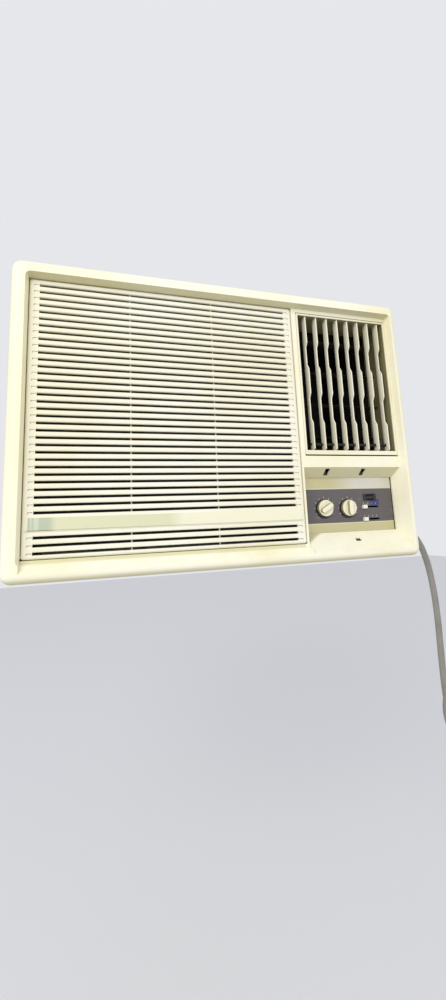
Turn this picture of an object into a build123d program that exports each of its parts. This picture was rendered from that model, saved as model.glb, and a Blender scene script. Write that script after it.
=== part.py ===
# Window air conditioner: front panel with intake grille and swinging louvre, controls, sleeve and chassis.
# Millimetres, +Z up. The origin is the middle of the sleeve's underside and the front faces -Y.
import os
from math import cos, pi, radians, sin, sqrt

from build123d import *

os.makedirs("parts", exist_ok=True)

# Sleeve and front panel
cabinet_width = 632.0
cabinet_height = 430.0
cabinet_depth = 620.0
sheet = 1.5
panel_lap = 8.0
panel_rise = 10.0
panel_depth = 80.0
panel_wall = 3.0
panel_overlap = 18.0
panel_drop = 13.0
panel_corner = 14.0
rim_proud = 13.0
rim_round = 12.0
rim_left = 22.1
rim_right = 16.8
rim_top = 22.3
rim_draft = 14.0
seam = 0.6
joint_gap = 0.4
running_gap = 0.05
pin_sides = 8
body_sides = 16
ring_sides = 30

# Intake grille
slot_pitch = 10.3
slot_height = 3.7
lower_slots = 3
grille_lift = 3.8
grille_side_margin = 14.3
grille_top_margin = 9.5
band_pitch = 32.9
band_line_drop = 25.0
grille_bottom_margin = 7.7
grille_depth = 14.0
grille_corner = 4.0
lining_depth = 24.0
slat_nose = 1.6
rib_width = 1.8
rib_count = 2
rib_setback = 4.0
slat_depth = 9.0
line_depth = 0.8
strip_margin = 5.0
strip_drop = 15.35
strip_height = 17.5
strip_thickness = 0.5
filter_inset = 8.0
filter_depth = 6.0
filter_bar = 10.0
filter_mesh = 1.0
hinge_pin_radius = 2.0
hinge_setback = 4.5

# Discharge louvre
divider_width = 9.0
louvre_width = 181.5
louvre_margin = 1.0
louvre_gap = 2.4
louvre_depth = 62.0
louvre_side_wall = 3.5
louvre_top_rail = 2.6
louvre_bottom_rail = 7.0
louvre_drop = 7.2
blade_count = 8
blade_pitch = 21.2
blade_shift = 3.1
blade_thickness = 1.8
blade_front = 3.0
blade_step = 5.0
blade_back = 15.7
blade_pivot = 8.5
blade_foot = 3.5
blade_pin_radius = 1.5
blade_steps = [(0.20, 0.235, 0.365, 0.40), (0.58, 0.615, 0.765, 0.80)]
link_half = 2.0
link_rise = 12.0
link_pin_radius = 1.0
vane_count = 4
vane_chord = 20.0
vane_thickness = 2.0
vane_setback = 46.0

# Controls
bar_height = 19.0
control_depth = 18.0
control_width = 176.0
control_margin = 6.0
control_top = 123.5
control_bottom = 31.0
control_drop = 15.5
control_plate_thickness = 2.0
bevel_front_z = 13.0
door_slot_shifts = [40.5, 110.0]
door_slot_width = 9.0
door_slot_start = 3.0
latch_shift = 87.8
latch_width = 10.0
latch_start = 3.0
latch_depth = 6.0
rib_inset_x = 66.0
knob_radius = 13.5
knob_height = 12.0
knob_skirt = 5.5
knob_grip = 7.5
knob_edge = 0.8
knob_shaft_length = 16.0
knob_shifts = [(38.0, 41.0), (83.5, 40.3)]
knob_turns = [60.0, 0.0]
knob_shaft_radius = 3.0
switch_shift = (128.5, 57.5)
switch_width = 25.0
switch_height = 12.0
housing_lip = 1.2
housing_depth = 16.0
rocker_setback = 2.0
rocker_proud = 1.2
rocker_pin_radius = 1.0
selector_size = (36.0, 40.0, 26.0)
thermostat_size = (42.0, 34.0, 30.0)
control_box_depth = 130.0
capacitor_radius = 20.0
capacitor_height = 72.0
terminal_height = 10.0
lever_slot_width = 35.0
lever_slot_height = 3.2
lever_slot_shifts = [(127.5, 41.3), (127.5, 20.1)]
lever_travel = 24.0
lever_knob_width = 8.0

# Stations along the depth, measured from the sleeve's front edge
evaporator_start = 12.0
coil_thickness = 45.0
orifice_start = 62.0
wheel_start = 70.0
wheel_width = 100.0
bulkhead_start = 180.0
motor_start = 196.0
motor_length = 115.0
condenser_fan_start = 462.0
shroud_start = 500.0
condenser_start = 560.0

# Sleeve vents, base pan, bulkhead and vent door
vent_back_margin = 150.0
vent_length = 80.0
vent_gap = 12.0
vent_slot = 6.0
vent_pitch = 26.0
vent_rows = 8
vent_top_rows = 4
pan_inset = 10.0
pan_edge = 20.0
drain_x = -220.0
drain_radius = 6.0
drain_length = 18.0
bulkhead_sheet = 2.0
vent_window = 54.0
vent_door_inset = 86.0
vent_door_drop = 75.0
door_lap = 4.0
door_pin_radius = 2.0
lug_width = 6.0

# Heat exchangers and refrigerant lines
coil_headroom = 25.0
end_plate = 3.0
evaporator_end_gap = 27.7
fin_pitch = 12.0
fin_gap = 7.0
fin_groove = 6.0
bend_radius = 12.0
bend_tube = 4.8
bend_count = 3
bend_margin = 40.0
tube_sides = 6
line_gap = 7.7
suction_z = 45.0
liquid_z = 80.0
suction_radius = 6.0

# Rotating set
motor_hub_radius = 28.0
fan_axis_inset = 212.0
fan_axis_z = 215.0
shaft_radius = 6.0
wheel_radius = 130.0
wheel_blades = 28
wheel_blade_depth = 22.0
wheel_blade_thickness = 1.5
wheel_plate = 3.0
wheel_hub_radius = 18.0
scroll_radius = 145.0
scroll_growth = 15.0
scroll_steps = 9
scroll_wall = 3.0
inlet_radius = 104.0
inlet_collar = 5.0
motor_radius = 62.0
motor_shoulder = 14.0
bracket_foot = 120.0
bracket_sheet = 3.0
condenser_fan_radius = 165.0
fan_blades = 5
fan_hub_radius = 36.0
fan_depth = 40.0
fan_ring = 5.0
fan_blade_width = 90.0
fan_blade_thickness = 2.5
fan_root_width = 54.0
fan_pitch = 24.0
shroud_gap = 6.0
shroud_collar = 22.0
shroud_end_gap = 17.7

# Compressor and what stands beside it
compressor_inset = 126.0
compressor_y = 60.0
compressor_radius = 62.0
compressor_height = 200.0
compressor_dome = 26.0
mount_height = 18.0
mount_radius = 12.0
mount_reach = 80.0
mount_count = 3
foot_thickness = 4.0
accumulator_radius = 24.0
accumulator_low = 60.0
accumulator_height = 130.0
accumulator_angle = 161.6
drier_inset = 31.0
drier_radius = 12.0
drier_start = 130.0
drier_length = 90.0
liquid_radius = 3.5
discharge_radius = 5.0
discharge_rise = 75.0
line_bend = 20.0

# Supply cord: a hanging route from the panel's side and the sleeve's front, the rest wound into a flat coil
cord_diameter = 11.0
cord_sides = 6
cord_route = [
    (23.4, -3.0, 30.8),
    (44.2, -3.0, 11.0),
    (59.2, -3.0, -29.0),
    (67.2, -2.0, -78.0),
    (70.7, 0.0, -133.0),
    (73.0, 5.0, -188.0),
    (78.2, 12.0, -240.0),
    (79.6, 12.0, -289.0),
]
coil_radius = 66.0
coil_pitch = 11.85
coil_layer = 11.85
coil_turns_in = 1.5
coil_turns_up = 0.5
gland_base_radius = 10.0
gland_tip_radius = 7.0
gland_flange = 14.0
gland_flange_thickness = 2.5
tie_width = 12.0
tie_thickness = 1.2
plug_boot = 20.0
plug_length = 34.0
plug_width = 30.0
plug_thickness = 22.0
plug_corner = 6.0
plug_neck = 7.7
pin_radius = 2.4
pin_length = 19.0
pin_spacing = 19.0
earth_offset = 8.0

# Places worked out from the sizes above
front_y = -cabinet_depth / 2
panel_back_y = front_y + panel_overlap
panel_front_y = panel_back_y - panel_depth
deck_y = panel_front_y + rim_proud
panel_width = cabinet_width + 2 * panel_lap
panel_height = panel_drop + cabinet_height + panel_rise
panel_bottom = -panel_drop
panel_top = panel_bottom + panel_height
panel_mid_z = panel_bottom + panel_height / 2
recess_left = rim_left - panel_width / 2
recess_right = panel_width / 2 - rim_right
recess_width = recess_right - recess_left
recess_mid_x = (recess_left + recess_right) / 2
recess_top = panel_top - rim_top
louvre_right = recess_right - louvre_margin
louvre_left = louvre_right - louvre_width
louvre_mid_x = (louvre_left + louvre_right) / 2
grille_left = recess_left + seam
grille_right = louvre_left - divider_width
grille_width = grille_right - grille_left
grille_mid_x = (grille_left + grille_right) / 2
grille_top = recess_top - seam
slot_room = grille_top - grille_top_margin - band_pitch - grille_bottom_margin - bevel_front_z - grille_lift
upper_slots = int(slot_room / slot_pitch + 0.01) + 2 - lower_slots
slot_span = (upper_slots - 1 + lower_slots - 1) * slot_pitch + band_pitch
grille_height = grille_top_margin + slot_span + grille_bottom_margin
grille_bottom = grille_top - grille_height
grille_mid_z = (grille_top + grille_bottom) / 2
hinge_y = deck_y + hinge_setback
hinge_z = grille_bottom + hinge_setback
bar_bottom = control_top + control_drop
louvre_top = grille_top - louvre_drop
louvre_bottom = bar_bottom + bar_height + louvre_gap
louvre_height = louvre_top - louvre_bottom
louvre_mid_z = (louvre_top + louvre_bottom) / 2
control_y = deck_y + control_depth
control_right = recess_right - control_margin
control_left = control_right - control_width
door_slot_places = [control_left + shift for shift in door_slot_shifts]
latch_x = control_left + latch_shift
knob_centres = [(control_left + across, control_bottom + up) for across, up in knob_shifts]
switch_centre = (control_left + switch_shift[0], control_bottom + switch_shift[1])
lever_slot_centres = [(control_left + across, control_bottom + up) for across, up in lever_slot_shifts]
bevel_slope = (control_bottom - bevel_front_z) / control_depth
pan_floor = 2 * sheet
bulkhead_y = front_y + bulkhead_start
inner_half = cabinet_width / 2 - sheet
pan_half = inner_half - 2 * sheet
bulkhead_half = pan_half - sheet - joint_gap
inner_top = cabinet_height - sheet
rib_reach_x = cabinet_width / 2 - rib_inset_x
vent_door_x = cabinet_width / 2 - vent_door_inset
vent_door_z = cabinet_height - vent_door_drop
coil_top = cabinet_height - coil_headroom
line_x = grille_right - line_gap
fan_axis_x = fan_axis_inset - cabinet_width / 2
shroud_right = grille_right - shroud_end_gap
compressor_x = cabinet_width / 2 - compressor_inset
drier_x = cabinet_width / 2 - drier_inset


def front_plane(y):
    return Plane(origin=(0, y, 0), x_dir=(1, 0, 0), z_dir=(0, -1, 0))


def span(x_range, y_range, z_range, mode=Mode.ADD):
    """A block between two corners, added to the part being built."""
    sizes = [high - low for low, high in (x_range, y_range, z_range)]
    middle = [(low + high) / 2 for low, high in (x_range, y_range, z_range)]
    with Locations(tuple(middle)):
        Box(*sizes, mode=mode)


def rod(start, direction, radius, length, mode=Mode.ADD):
    """A round bar from a point along a direction, added to the part being built."""
    with Locations(Plane(origin=start, z_dir=direction)):
        Cylinder(radius, length, align=(Align.CENTER, Align.CENTER, Align.MIN), mode=mode)


def bar(start, direction, radius, length, mode=Mode.ADD, sides=pin_sides):
    """A bar with a few flat sides, added to the part being built."""
    plane = Plane(origin=start, z_dir=direction)
    turns = [2 * pi * step / sides for step in range(sides)]
    rim = [plane.from_local_coords((radius * cos(turn), radius * sin(turn), 0)) for turn in turns]
    add(Solid.extrude(Face(Wire.make_polygon(rim)), plane.z_dir * length), mode=mode)


def socket_radius(radius):
    """Corner radius of a flat-sided hole that a round pin turns in."""
    return (radius + running_gap) / cos(pi / pin_sides)


def socket(start, direction, radius, length):
    bar(start, direction, socket_radius(radius), length, mode=Mode.SUBTRACT)


def save(piece, name):
    piece.part.label = name
    export_step(piece.part, f"parts/{name}.step")


# Front panel
with BuildPart() as rim_hollow:
    with BuildSketch(front_plane(deck_y + panel_wall)):
        with Locations((0, panel_mid_z)):
            RectangleRounded(panel_width - 2 * panel_wall, panel_height - 2 * panel_wall, panel_corner - panel_wall)
    extrude(amount=rim_proud)
    fillet(rim_hollow.faces().sort_by(Axis.Y)[0].edges(), rim_round - panel_wall)
    with BuildSketch(front_plane(deck_y + panel_wall)):
        with Locations((recess_mid_x, (recess_top + panel_bottom) / 2)):
            Rectangle(recess_width + 4 * panel_wall, recess_top - panel_bottom + 4 * panel_wall)
    extrude(amount=rim_proud, mode=Mode.SUBTRACT)

with BuildPart() as front_panel:
    with BuildSketch(front_plane(panel_back_y)):
        with Locations((0, panel_mid_z)):
            RectangleRounded(panel_width, panel_height, panel_corner)
    extrude(amount=panel_depth)
    fillet(front_panel.faces().sort_by(Axis.Y)[0].edges(), rim_round)
    with BuildSketch(front_plane(panel_back_y)):
        with Locations((0, panel_mid_z)):
            RectangleRounded(panel_width - 2 * panel_wall, panel_height - 2 * panel_wall, panel_corner - panel_wall)
    extrude(amount=panel_depth - rim_proud - panel_wall, mode=Mode.SUBTRACT)
    add(rim_hollow.part, mode=Mode.SUBTRACT)
    # Linings behind the grille and the louvre
    openings = (
        (grille_left - seam, grille_right + seam, grille_bottom - seam, grille_top + seam),
        (louvre_left - seam, louvre_right + seam, louvre_bottom - louvre_gap, louvre_top + seam),
    )
    for left, right, low, high in openings:
        span(
            (left - panel_wall, right + panel_wall),
            (deck_y, deck_y + lining_depth),
            (low - panel_wall, high + panel_wall),
        )
    # Pocket of the controls, with sloping walls
    with BuildSketch(front_plane(control_y + panel_wall)):
        with Locations(((control_left + control_right) / 2, (control_top + control_bottom) / 2)):
            Rectangle(control_right - control_left + 2 * panel_wall, control_top - control_bottom + 2 * panel_wall)
    with BuildSketch(front_plane(deck_y)):
        with Locations(((grille_right + recess_right + panel_wall) / 2, (bar_bottom + bevel_front_z) / 2)):
            Rectangle(recess_right + panel_wall - grille_right, bar_bottom - bevel_front_z + panel_wall)
    loft()
    # Recess inside the rim
    with BuildSketch(front_plane(deck_y)):
        with Locations((recess_mid_x, (recess_top + bevel_front_z) / 2)):
            RectangleRounded(recess_width, recess_top - bevel_front_z, grille_corner)
    extrude(amount=2 * rim_proud, taper=-rim_draft, mode=Mode.SUBTRACT)
    # Bevel that falls from the control plate to the lower rim, leaving the hinge cheek beside the grille
    cheek_left = grille_right + seam
    for left, right in ((recess_left, cheek_left), (cheek_left + panel_wall, recess_right)):
        with BuildSketch(Plane.YZ.offset(left)):
            with BuildLine():
                Polyline(
                    (deck_y, control_bottom),
                    (deck_y, bevel_front_z),
                    (panel_front_y - 1, control_bottom - bevel_slope * (control_y - panel_front_y + 1)),
                    (panel_front_y - 1, control_bottom),
                    close=True,
                )
            make_face()
        extrude(amount=right - left, mode=Mode.SUBTRACT)
    # Openings of the grille, the louvre and the controls
    for left, right, low, high in openings:
        span((left, right), (panel_front_y, panel_back_y), (low, high), mode=Mode.SUBTRACT)
    with BuildSketch(front_plane(control_y)):
        with Locations(((control_left + control_right) / 2, (control_top + control_bottom) / 2)):
            Rectangle(control_right - control_left, control_top - control_bottom)
    with BuildSketch(front_plane(deck_y)):
        pocket_left = cheek_left + panel_wall
        with Locations(((pocket_left + recess_right) / 2, (bar_bottom + bevel_front_z) / 2)):
            Rectangle(recess_right - pocket_left, bar_bottom - bevel_front_z)
    loft(mode=Mode.SUBTRACT)
    span(
        (control_left, control_right),
        (control_y - seam, control_y + 2 * panel_wall),
        (control_bottom, control_top),
        mode=Mode.SUBTRACT,
    )
    # Door hinge slots in the pocket's ceiling and the latch hole in its floor
    for x in door_slot_places:
        span(
            (x - door_slot_width / 2, x + door_slot_width / 2),
            (deck_y + door_slot_start, control_y - panel_wall),
            (control_top, bar_bottom + panel_wall),
            mode=Mode.SUBTRACT,
        )
    span(
        (latch_x - latch_width / 2, latch_x + latch_width / 2),
        (deck_y + latch_start, deck_y + latch_start + latch_depth),
        (bevel_front_z - panel_wall, control_bottom),
        mode=Mode.SUBTRACT,
    )
    # Holes of the grille's hinge pins
    rod((recess_left - 2 * panel_wall, hinge_y, hinge_z), (1, 0, 0), hinge_pin_radius + running_gap,
        grille_width + 6 * panel_wall, mode=Mode.SUBTRACT)
    # Ribs that bear on the sleeve's front edge
    for x in (-rib_reach_x, 0, rib_reach_x):
        for low, high in (
            (panel_bottom + panel_wall, sheet * 4),
            (cabinet_height - sheet * 4, panel_top - panel_wall),
        ):
            span((x - panel_wall / 2, x + panel_wall / 2), (deck_y + panel_wall, front_y), (low, high))
    for z in (cabinet_height / 4, cabinet_height * 3 / 4):
        for side in (-1, 1):
            outer = side * (panel_width / 2 - panel_wall)
            inner = side * (cabinet_width / 2 - 4 * sheet)
            span(
                (min(outer, inner), max(outer, inner)),
                (deck_y + panel_wall, front_y),
                (z - panel_wall / 2, z + panel_wall / 2),
            )
save(front_panel, "front_panel")

# Intake grille with rounded slats
slot_rows = [grille_top - grille_top_margin - row * slot_pitch for row in range(upper_slots)]
band_start = slot_rows[-1]
slot_rows += [band_start - band_pitch - row * slot_pitch for row in range(lower_slots)]
slot_left = grille_left + grille_side_margin
slot_right = grille_right - grille_side_margin
column_width = (slot_right - slot_left - rib_count * rib_width) / (rib_count + 1)
nose_mouth = slot_height / 2 + slat_nose
nose_bulge = slat_nose * (1 - sqrt(0.5))

with BuildPart() as intake_grille:
    with BuildSketch(front_plane(deck_y + grille_depth)):
        with Locations((grille_mid_x, grille_mid_z)):
            RectangleRounded(grille_width, grille_height, grille_corner)
    extrude(amount=grille_depth)
    lower_edge = intake_grille.faces().sort_by(Axis.Y)[0].edges().filter_by(Axis.X).sort_by(Axis.Z)[0]
    fillet(lower_edge, hinge_setback - 0.1)
    span(
        (slot_left - slat_nose, slot_right + slat_nose),
        (deck_y + slat_depth, deck_y + grille_depth),
        (slot_rows[-1] - slot_height, slot_rows[0] + slot_height),
        mode=Mode.SUBTRACT,
    )
    with BuildSketch(Plane.YZ.offset(slot_left)):
        for z in slot_rows:
            with BuildLine():
                Polyline(
                    (deck_y, z + nose_mouth),
                    (deck_y + nose_bulge, z + nose_mouth - slat_nose + nose_bulge),
                    (deck_y + slat_nose, z + slot_height / 2),
                    (deck_y + grille_depth, z + slot_height / 2),
                    (deck_y + grille_depth, z - slot_height / 2),
                    (deck_y + slat_nose, z - slot_height / 2),
                    (deck_y + nose_bulge, z - nose_mouth + slat_nose - nose_bulge),
                    (deck_y, z - nose_mouth),
                    close=True,
                )
            make_face()
    extrude(amount=slot_right - slot_left, mode=Mode.SUBTRACT)
    # Upright ribs across the slots, a little behind the slats' noses
    for column in range(1, rib_count + 1):
        rib_x = slot_left + column * (column_width + rib_width) - rib_width
        span(
            (rib_x, rib_x + rib_width),
            (deck_y + rib_setback, deck_y + slat_depth),
            (slot_rows[-1] - slot_height, slot_rows[0] + slot_height),
        )
    # Line under the band
    line_z = band_start - band_line_drop
    span((grille_left, grille_right), (deck_y, deck_y + line_depth), (line_z - line_depth, line_z),
         mode=Mode.SUBTRACT)
    for x, direction in ((grille_left, (-1, 0, 0)), (grille_right, (1, 0, 0))):
        rod((x, hinge_y, hinge_z), direction, hinge_pin_radius, seam + panel_wall - joint_gap)
save(intake_grille, "intake_grille")

# Bare strip on the grille's band
with BuildPart() as name_strip:
    with BuildSketch(front_plane(deck_y)):
        with Locations((grille_mid_x, band_start - strip_drop)):
            Rectangle(grille_width - 2 * strip_margin, strip_height)
    extrude(amount=strip_thickness)
save(name_strip, "name_strip")

# Air filter clipped behind the grille
filter_half_x = grille_width / 2 - filter_inset
filter_half_z = grille_height / 2 - filter_inset
filter_y = deck_y + grille_depth
with BuildPart() as air_filter:
    with BuildSketch(front_plane(filter_y + filter_depth)):
        with Locations((grille_mid_x, grille_mid_z)):
            RectangleRounded(2 * filter_half_x, 2 * filter_half_z, grille_corner)
            with GridLocations(2 * filter_half_x / 3, 2 * filter_half_z / 3, 3, 3):
                Rectangle(2 * filter_half_x / 3 - filter_bar, 2 * filter_half_z / 3 - filter_bar, mode=Mode.SUBTRACT)
    extrude(amount=filter_depth)
    with BuildSketch(front_plane(filter_y + filter_depth / 2 + filter_mesh)):
        with Locations((grille_mid_x, grille_mid_z)):
            Rectangle(2 * filter_half_x - filter_bar, 2 * filter_half_z - filter_bar)
    extrude(amount=filter_mesh)
save(air_filter, "air_filter")

# Louvre frame, a short duct that carries the blades and the vanes
opening_left = louvre_left + louvre_side_wall
opening_right = louvre_right - louvre_side_wall
opening_top = louvre_top - louvre_top_rail
opening_bottom = louvre_bottom + louvre_bottom_rail
blade_places = [louvre_mid_x + blade_shift + (i - (blade_count - 1) / 2) * blade_pitch for i in range(blade_count)]
blade_top = opening_top - joint_gap
blade_bottom = opening_bottom + joint_gap
blade_y = deck_y + blade_pivot
vane_y = deck_y + vane_setback
vane_gap = (opening_top - opening_bottom) / vane_count
vane_places = [opening_bottom + (i + 0.5) * vane_gap for i in range(vane_count)]

with BuildPart() as louvre_frame:
    with BuildSketch(front_plane(deck_y + louvre_depth)):
        with Locations((louvre_mid_x, louvre_mid_z)):
            RectangleRounded(louvre_width, louvre_height, louvre_top_rail)
        with Locations(((opening_left + opening_right) / 2, (opening_top + opening_bottom) / 2)):
            Rectangle(opening_right - opening_left, opening_top - opening_bottom, mode=Mode.SUBTRACT)
    extrude(amount=louvre_depth)
    for x in blade_places:
        socket((x, blade_y, louvre_bottom - 1), (0, 0, 1), blade_pin_radius, louvre_height + 2)
    for z in vane_places:
        socket((louvre_left - 1, vane_y, z), (1, 0, 0), blade_pin_radius, louvre_width + 2)
save(louvre_frame, "louvre_frame")

# Upright blades with stepped front edges
link_z = blade_bottom + link_rise
link_pin_y = deck_y + blade_back - link_half
blade_height = blade_top - blade_bottom
for number, x in enumerate(blade_places, start=1):
    with BuildPart() as louvre_blade:
        with BuildSketch(Plane.YZ.offset(x - blade_thickness / 2)):
            with BuildLine():
                front = deck_y + blade_front
                outline = [(deck_y + blade_back, blade_top), (front, blade_top)]
                for start, sunk, raised, end in blade_steps:
                    outline.append((front, blade_top - start * blade_height))
                    outline.append((front + blade_step, blade_top - sunk * blade_height))
                    outline.append((front + blade_step, blade_top - raised * blade_height))
                    outline.append((front, blade_top - end * blade_height))
                outline += [
                    (front, blade_bottom + blade_foot),
                    (front + blade_foot, blade_bottom),
                    (deck_y + blade_back, blade_bottom),
                ]
                Polyline(*outline, close=True)
            make_face()
        extrude(amount=blade_thickness)
        span(
            (x - blade_thickness, x + blade_thickness),
            (link_pin_y - 2 * link_half, deck_y + blade_back + 1),
            (link_z - 2 * link_half, link_z + 2 * link_half),
            mode=Mode.SUBTRACT,
        )
        pin = rod if number == 1 else bar
        pin((x, link_pin_y, link_z - 2 * link_half), (0, 0, 1), link_pin_radius, 4 * link_half)
        rod((x, blade_y, blade_top), (0, 0, 1), blade_pin_radius, louvre_top_rail)
        bar((x, blade_y, blade_bottom), (0, 0, -1), blade_pin_radius, louvre_bottom_rail)
    save(louvre_blade, f"louvre_blade_{number}")

with BuildPart() as blade_link:
    with BuildSketch(Plane.XY.offset(link_z - link_half)):
        with Locations(((blade_places[0] + blade_places[-1]) / 2, link_pin_y)):
            SlotCenterToCenter(blade_places[-1] - blade_places[0], 2 * link_half)
        with Locations(*[(x, link_pin_y) for x in blade_places]):
            RegularPolygon(socket_radius(link_pin_radius), pin_sides, mode=Mode.SUBTRACT)
    extrude(amount=2 * link_half)
save(blade_link, "blade_link")

# Level vanes behind the blades
vane_left = opening_left + joint_gap
vane_right = opening_right - joint_gap
vane_link_x = vane_left + link_rise
vane_pin_y = vane_y + vane_chord / 2 - link_half
for number, z in enumerate(vane_places, start=1):
    with BuildPart() as level_vane:
        with BuildSketch(Plane.YZ.offset(vane_left)):
            with BuildLine():
                Polyline(
                    (vane_y - vane_chord / 2, z),
                    (vane_y - vane_chord / 2 + vane_thickness, z + vane_thickness / 2),
                    (vane_y + vane_chord / 2 - vane_thickness, z + vane_thickness / 2),
                    (vane_y + vane_chord / 2, z),
                    (vane_y + vane_chord / 2 - vane_thickness, z - vane_thickness / 2),
                    (vane_y - vane_chord / 2 + vane_thickness, z - vane_thickness / 2),
                    close=True,
                )
            make_face()
        extrude(amount=vane_right - vane_left)
        span(
            (vane_link_x - 2 * link_half, vane_link_x + 2 * link_half),
            (vane_pin_y - 2 * link_half, vane_y + vane_chord),
            (z - vane_thickness, z + vane_thickness),
            mode=Mode.SUBTRACT,
        )
        pin = rod if number == 1 else bar
        pin((vane_link_x - 2 * link_half, vane_pin_y, z), (1, 0, 0), link_pin_radius, 4 * link_half)
        rod((vane_left, vane_y, z), (-1, 0, 0), blade_pin_radius, louvre_side_wall)
        bar((vane_right, vane_y, z), (1, 0, 0), blade_pin_radius, louvre_side_wall)
    save(level_vane, f"level_vane_{number}")

with BuildPart() as vane_link:
    with BuildSketch(Plane.YZ.offset(vane_link_x - link_half)):
        with Locations((vane_pin_y, (vane_places[0] + vane_places[-1]) / 2)):
            SlotCenterToCenter(vane_places[-1] - vane_places[0], 2 * link_half, rotation=90)
        with Locations(*[(vane_pin_y, z) for z in vane_places]):
            RegularPolygon(socket_radius(link_pin_radius), pin_sides, mode=Mode.SUBTRACT)
    extrude(amount=2 * link_half)
save(vane_link, "vane_link")

# Control plate with its holes
plate_y = control_y + panel_wall
plate_back_y = plate_y + control_plate_thickness
plate_mid_x = (control_left + control_right) / 2
plate_mid_z = (control_top + control_bottom) / 2
with BuildPart() as control_plate:
    with BuildSketch(front_plane(plate_back_y)):
        with Locations((plate_mid_x, plate_mid_z)):
            Rectangle(control_right - control_left + 2 * panel_wall, control_top - control_bottom + 2 * panel_wall)
        with Locations(*knob_centres):
            RegularPolygon(socket_radius(knob_shaft_radius), pin_sides, mode=Mode.SUBTRACT)
        with Locations(switch_centre):
            Rectangle(switch_width - 2 * panel_wall, switch_height - control_plate_thickness, mode=Mode.SUBTRACT)
        with Locations(*lever_slot_centres):
            Rectangle(lever_slot_width, lever_slot_height, mode=Mode.SUBTRACT)
    extrude(amount=control_plate_thickness)
save(control_plate, "control_plate")

# Rotary knobs with a grip bar, and the switch bodies behind them
knob_back_y = plate_y - joint_gap
for name, (x, z), turn in zip(("selector_knob", "thermostat_knob"), knob_centres, knob_turns):
    with BuildPart() as knob:
        with BuildSketch(front_plane(knob_back_y)):
            with Locations((x, z)):
                Circle(knob_radius)
        extrude(amount=knob_skirt)
        with BuildSketch(front_plane(knob_back_y - knob_skirt / 2)):
            with Locations(Location((x, z), 90 - turn)):
                SlotOverall(2 * knob_radius - 4 * knob_edge, knob_grip)
        extrude(amount=knob_height - knob_skirt / 2)
        chamfer(knob.faces().sort_by(Axis.Y)[0].edges(), knob_edge)
        rod((x, knob_back_y, z), (0, 1, 0), knob_shaft_radius, knob_shaft_length)
    save(knob, name)

for name, (x, z), (width, height, depth) in (
    ("selector_switch", knob_centres[0], selector_size),
    ("thermostat", knob_centres[1], thermostat_size),
):
    with BuildPart() as switch_body:
        with BuildSketch(front_plane(plate_back_y)):
            with Locations((x, z)):
                Rectangle(width, height)
        extrude(amount=-depth)
        tab_y = plate_back_y + depth + control_plate_thickness
        with Locations(*[(x + side * width / 3, tab_y, z) for side in (-1, 1)]):
            Box(control_plate_thickness, 2 * control_plate_thickness, height / 2)
        socket((x, plate_back_y, z), (0, 1, 0), knob_shaft_radius, knob_shaft_length)
    save(switch_body, name)

# Rocker switch in its housing
switch_x, switch_z = switch_centre
rocker_y = plate_y + rocker_setback
rocker_half = switch_width / 2 - panel_wall - control_plate_thickness
window_half = switch_height / 2 - control_plate_thickness / 2 - joint_gap
with BuildPart() as switch_housing:
    with BuildSketch(front_plane(plate_y)):
        with Locations((switch_x, switch_z)):
            Rectangle(switch_width, switch_height)
    extrude(amount=housing_lip)
    with BuildSketch(front_plane(plate_y)):
        with Locations((switch_x, switch_z)):
            Rectangle(
                switch_width - 2 * panel_wall - 2 * joint_gap,
                switch_height - control_plate_thickness - joint_gap / 2,
            )
    extrude(amount=-housing_depth)
    span(
        (switch_x - rocker_half - joint_gap, switch_x + rocker_half + joint_gap),
        (plate_y - 2 * housing_lip, plate_y + housing_depth - control_plate_thickness),
        (switch_z - window_half, switch_z + window_half),
        mode=Mode.SUBTRACT,
    )
    socket((switch_x - rocker_half - 1, rocker_y, switch_z), (1, 0, 0), rocker_pin_radius, 2 * rocker_half + 2)
save(switch_housing, "switch_housing")

with BuildPart() as rocker:
    with BuildSketch(Plane.YZ.offset(switch_x - rocker_half)):
        with BuildLine():
            face = rocker_y - rocker_setback - housing_lip
            edge = window_half - 3 * joint_gap
            outline = Polyline(
                (rocker_y, switch_z + edge * 0.7),
                (face - rocker_proud, switch_z + edge * 0.8),
                (face, switch_z),
                (face, switch_z - edge * 0.8),
                (rocker_y, switch_z - edge * 0.7),
            )
            RadiusArc(outline @ 1, outline @ 0, edge)
        make_face()
    extrude(amount=2 * rocker_half)
    rod((switch_x - rocker_half - 1 + joint_gap, rocker_y, switch_z), (1, 0, 0), rocker_pin_radius,
        2 * rocker_half + 2 - 2 * joint_gap)
save(rocker, "rocker")

# Slide levers at the left end of their slots
for name, (x, z) in zip(("vent_lever", "swing_lever"), lever_slot_centres):
    lever_x = x - lever_travel / 2
    stem_half = lever_slot_height / 2 - joint_gap
    with BuildPart() as lever:
        with BuildSketch(front_plane(plate_y - joint_gap)):
            with Locations((lever_x, z)):
                Rectangle(lever_knob_width, 2 * lever_slot_height)
        extrude(amount=lever_knob_width * 0.7)
        chamfer(lever.faces().sort_by(Axis.Y)[0].edges(), joint_gap * 2)
        span((lever_x - stem_half * 2, lever_x + stem_half * 2), (plate_y - joint_gap, plate_back_y + joint_gap),
             (z - stem_half, z + stem_half))
        span(
            (lever_x - lever_knob_width / 2, lever_x + lever_knob_width / 2),
            (plate_back_y + joint_gap, plate_back_y + joint_gap + control_plate_thickness),
            (z - lever_slot_height, z + lever_slot_height),
        )
    save(lever, name)

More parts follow.
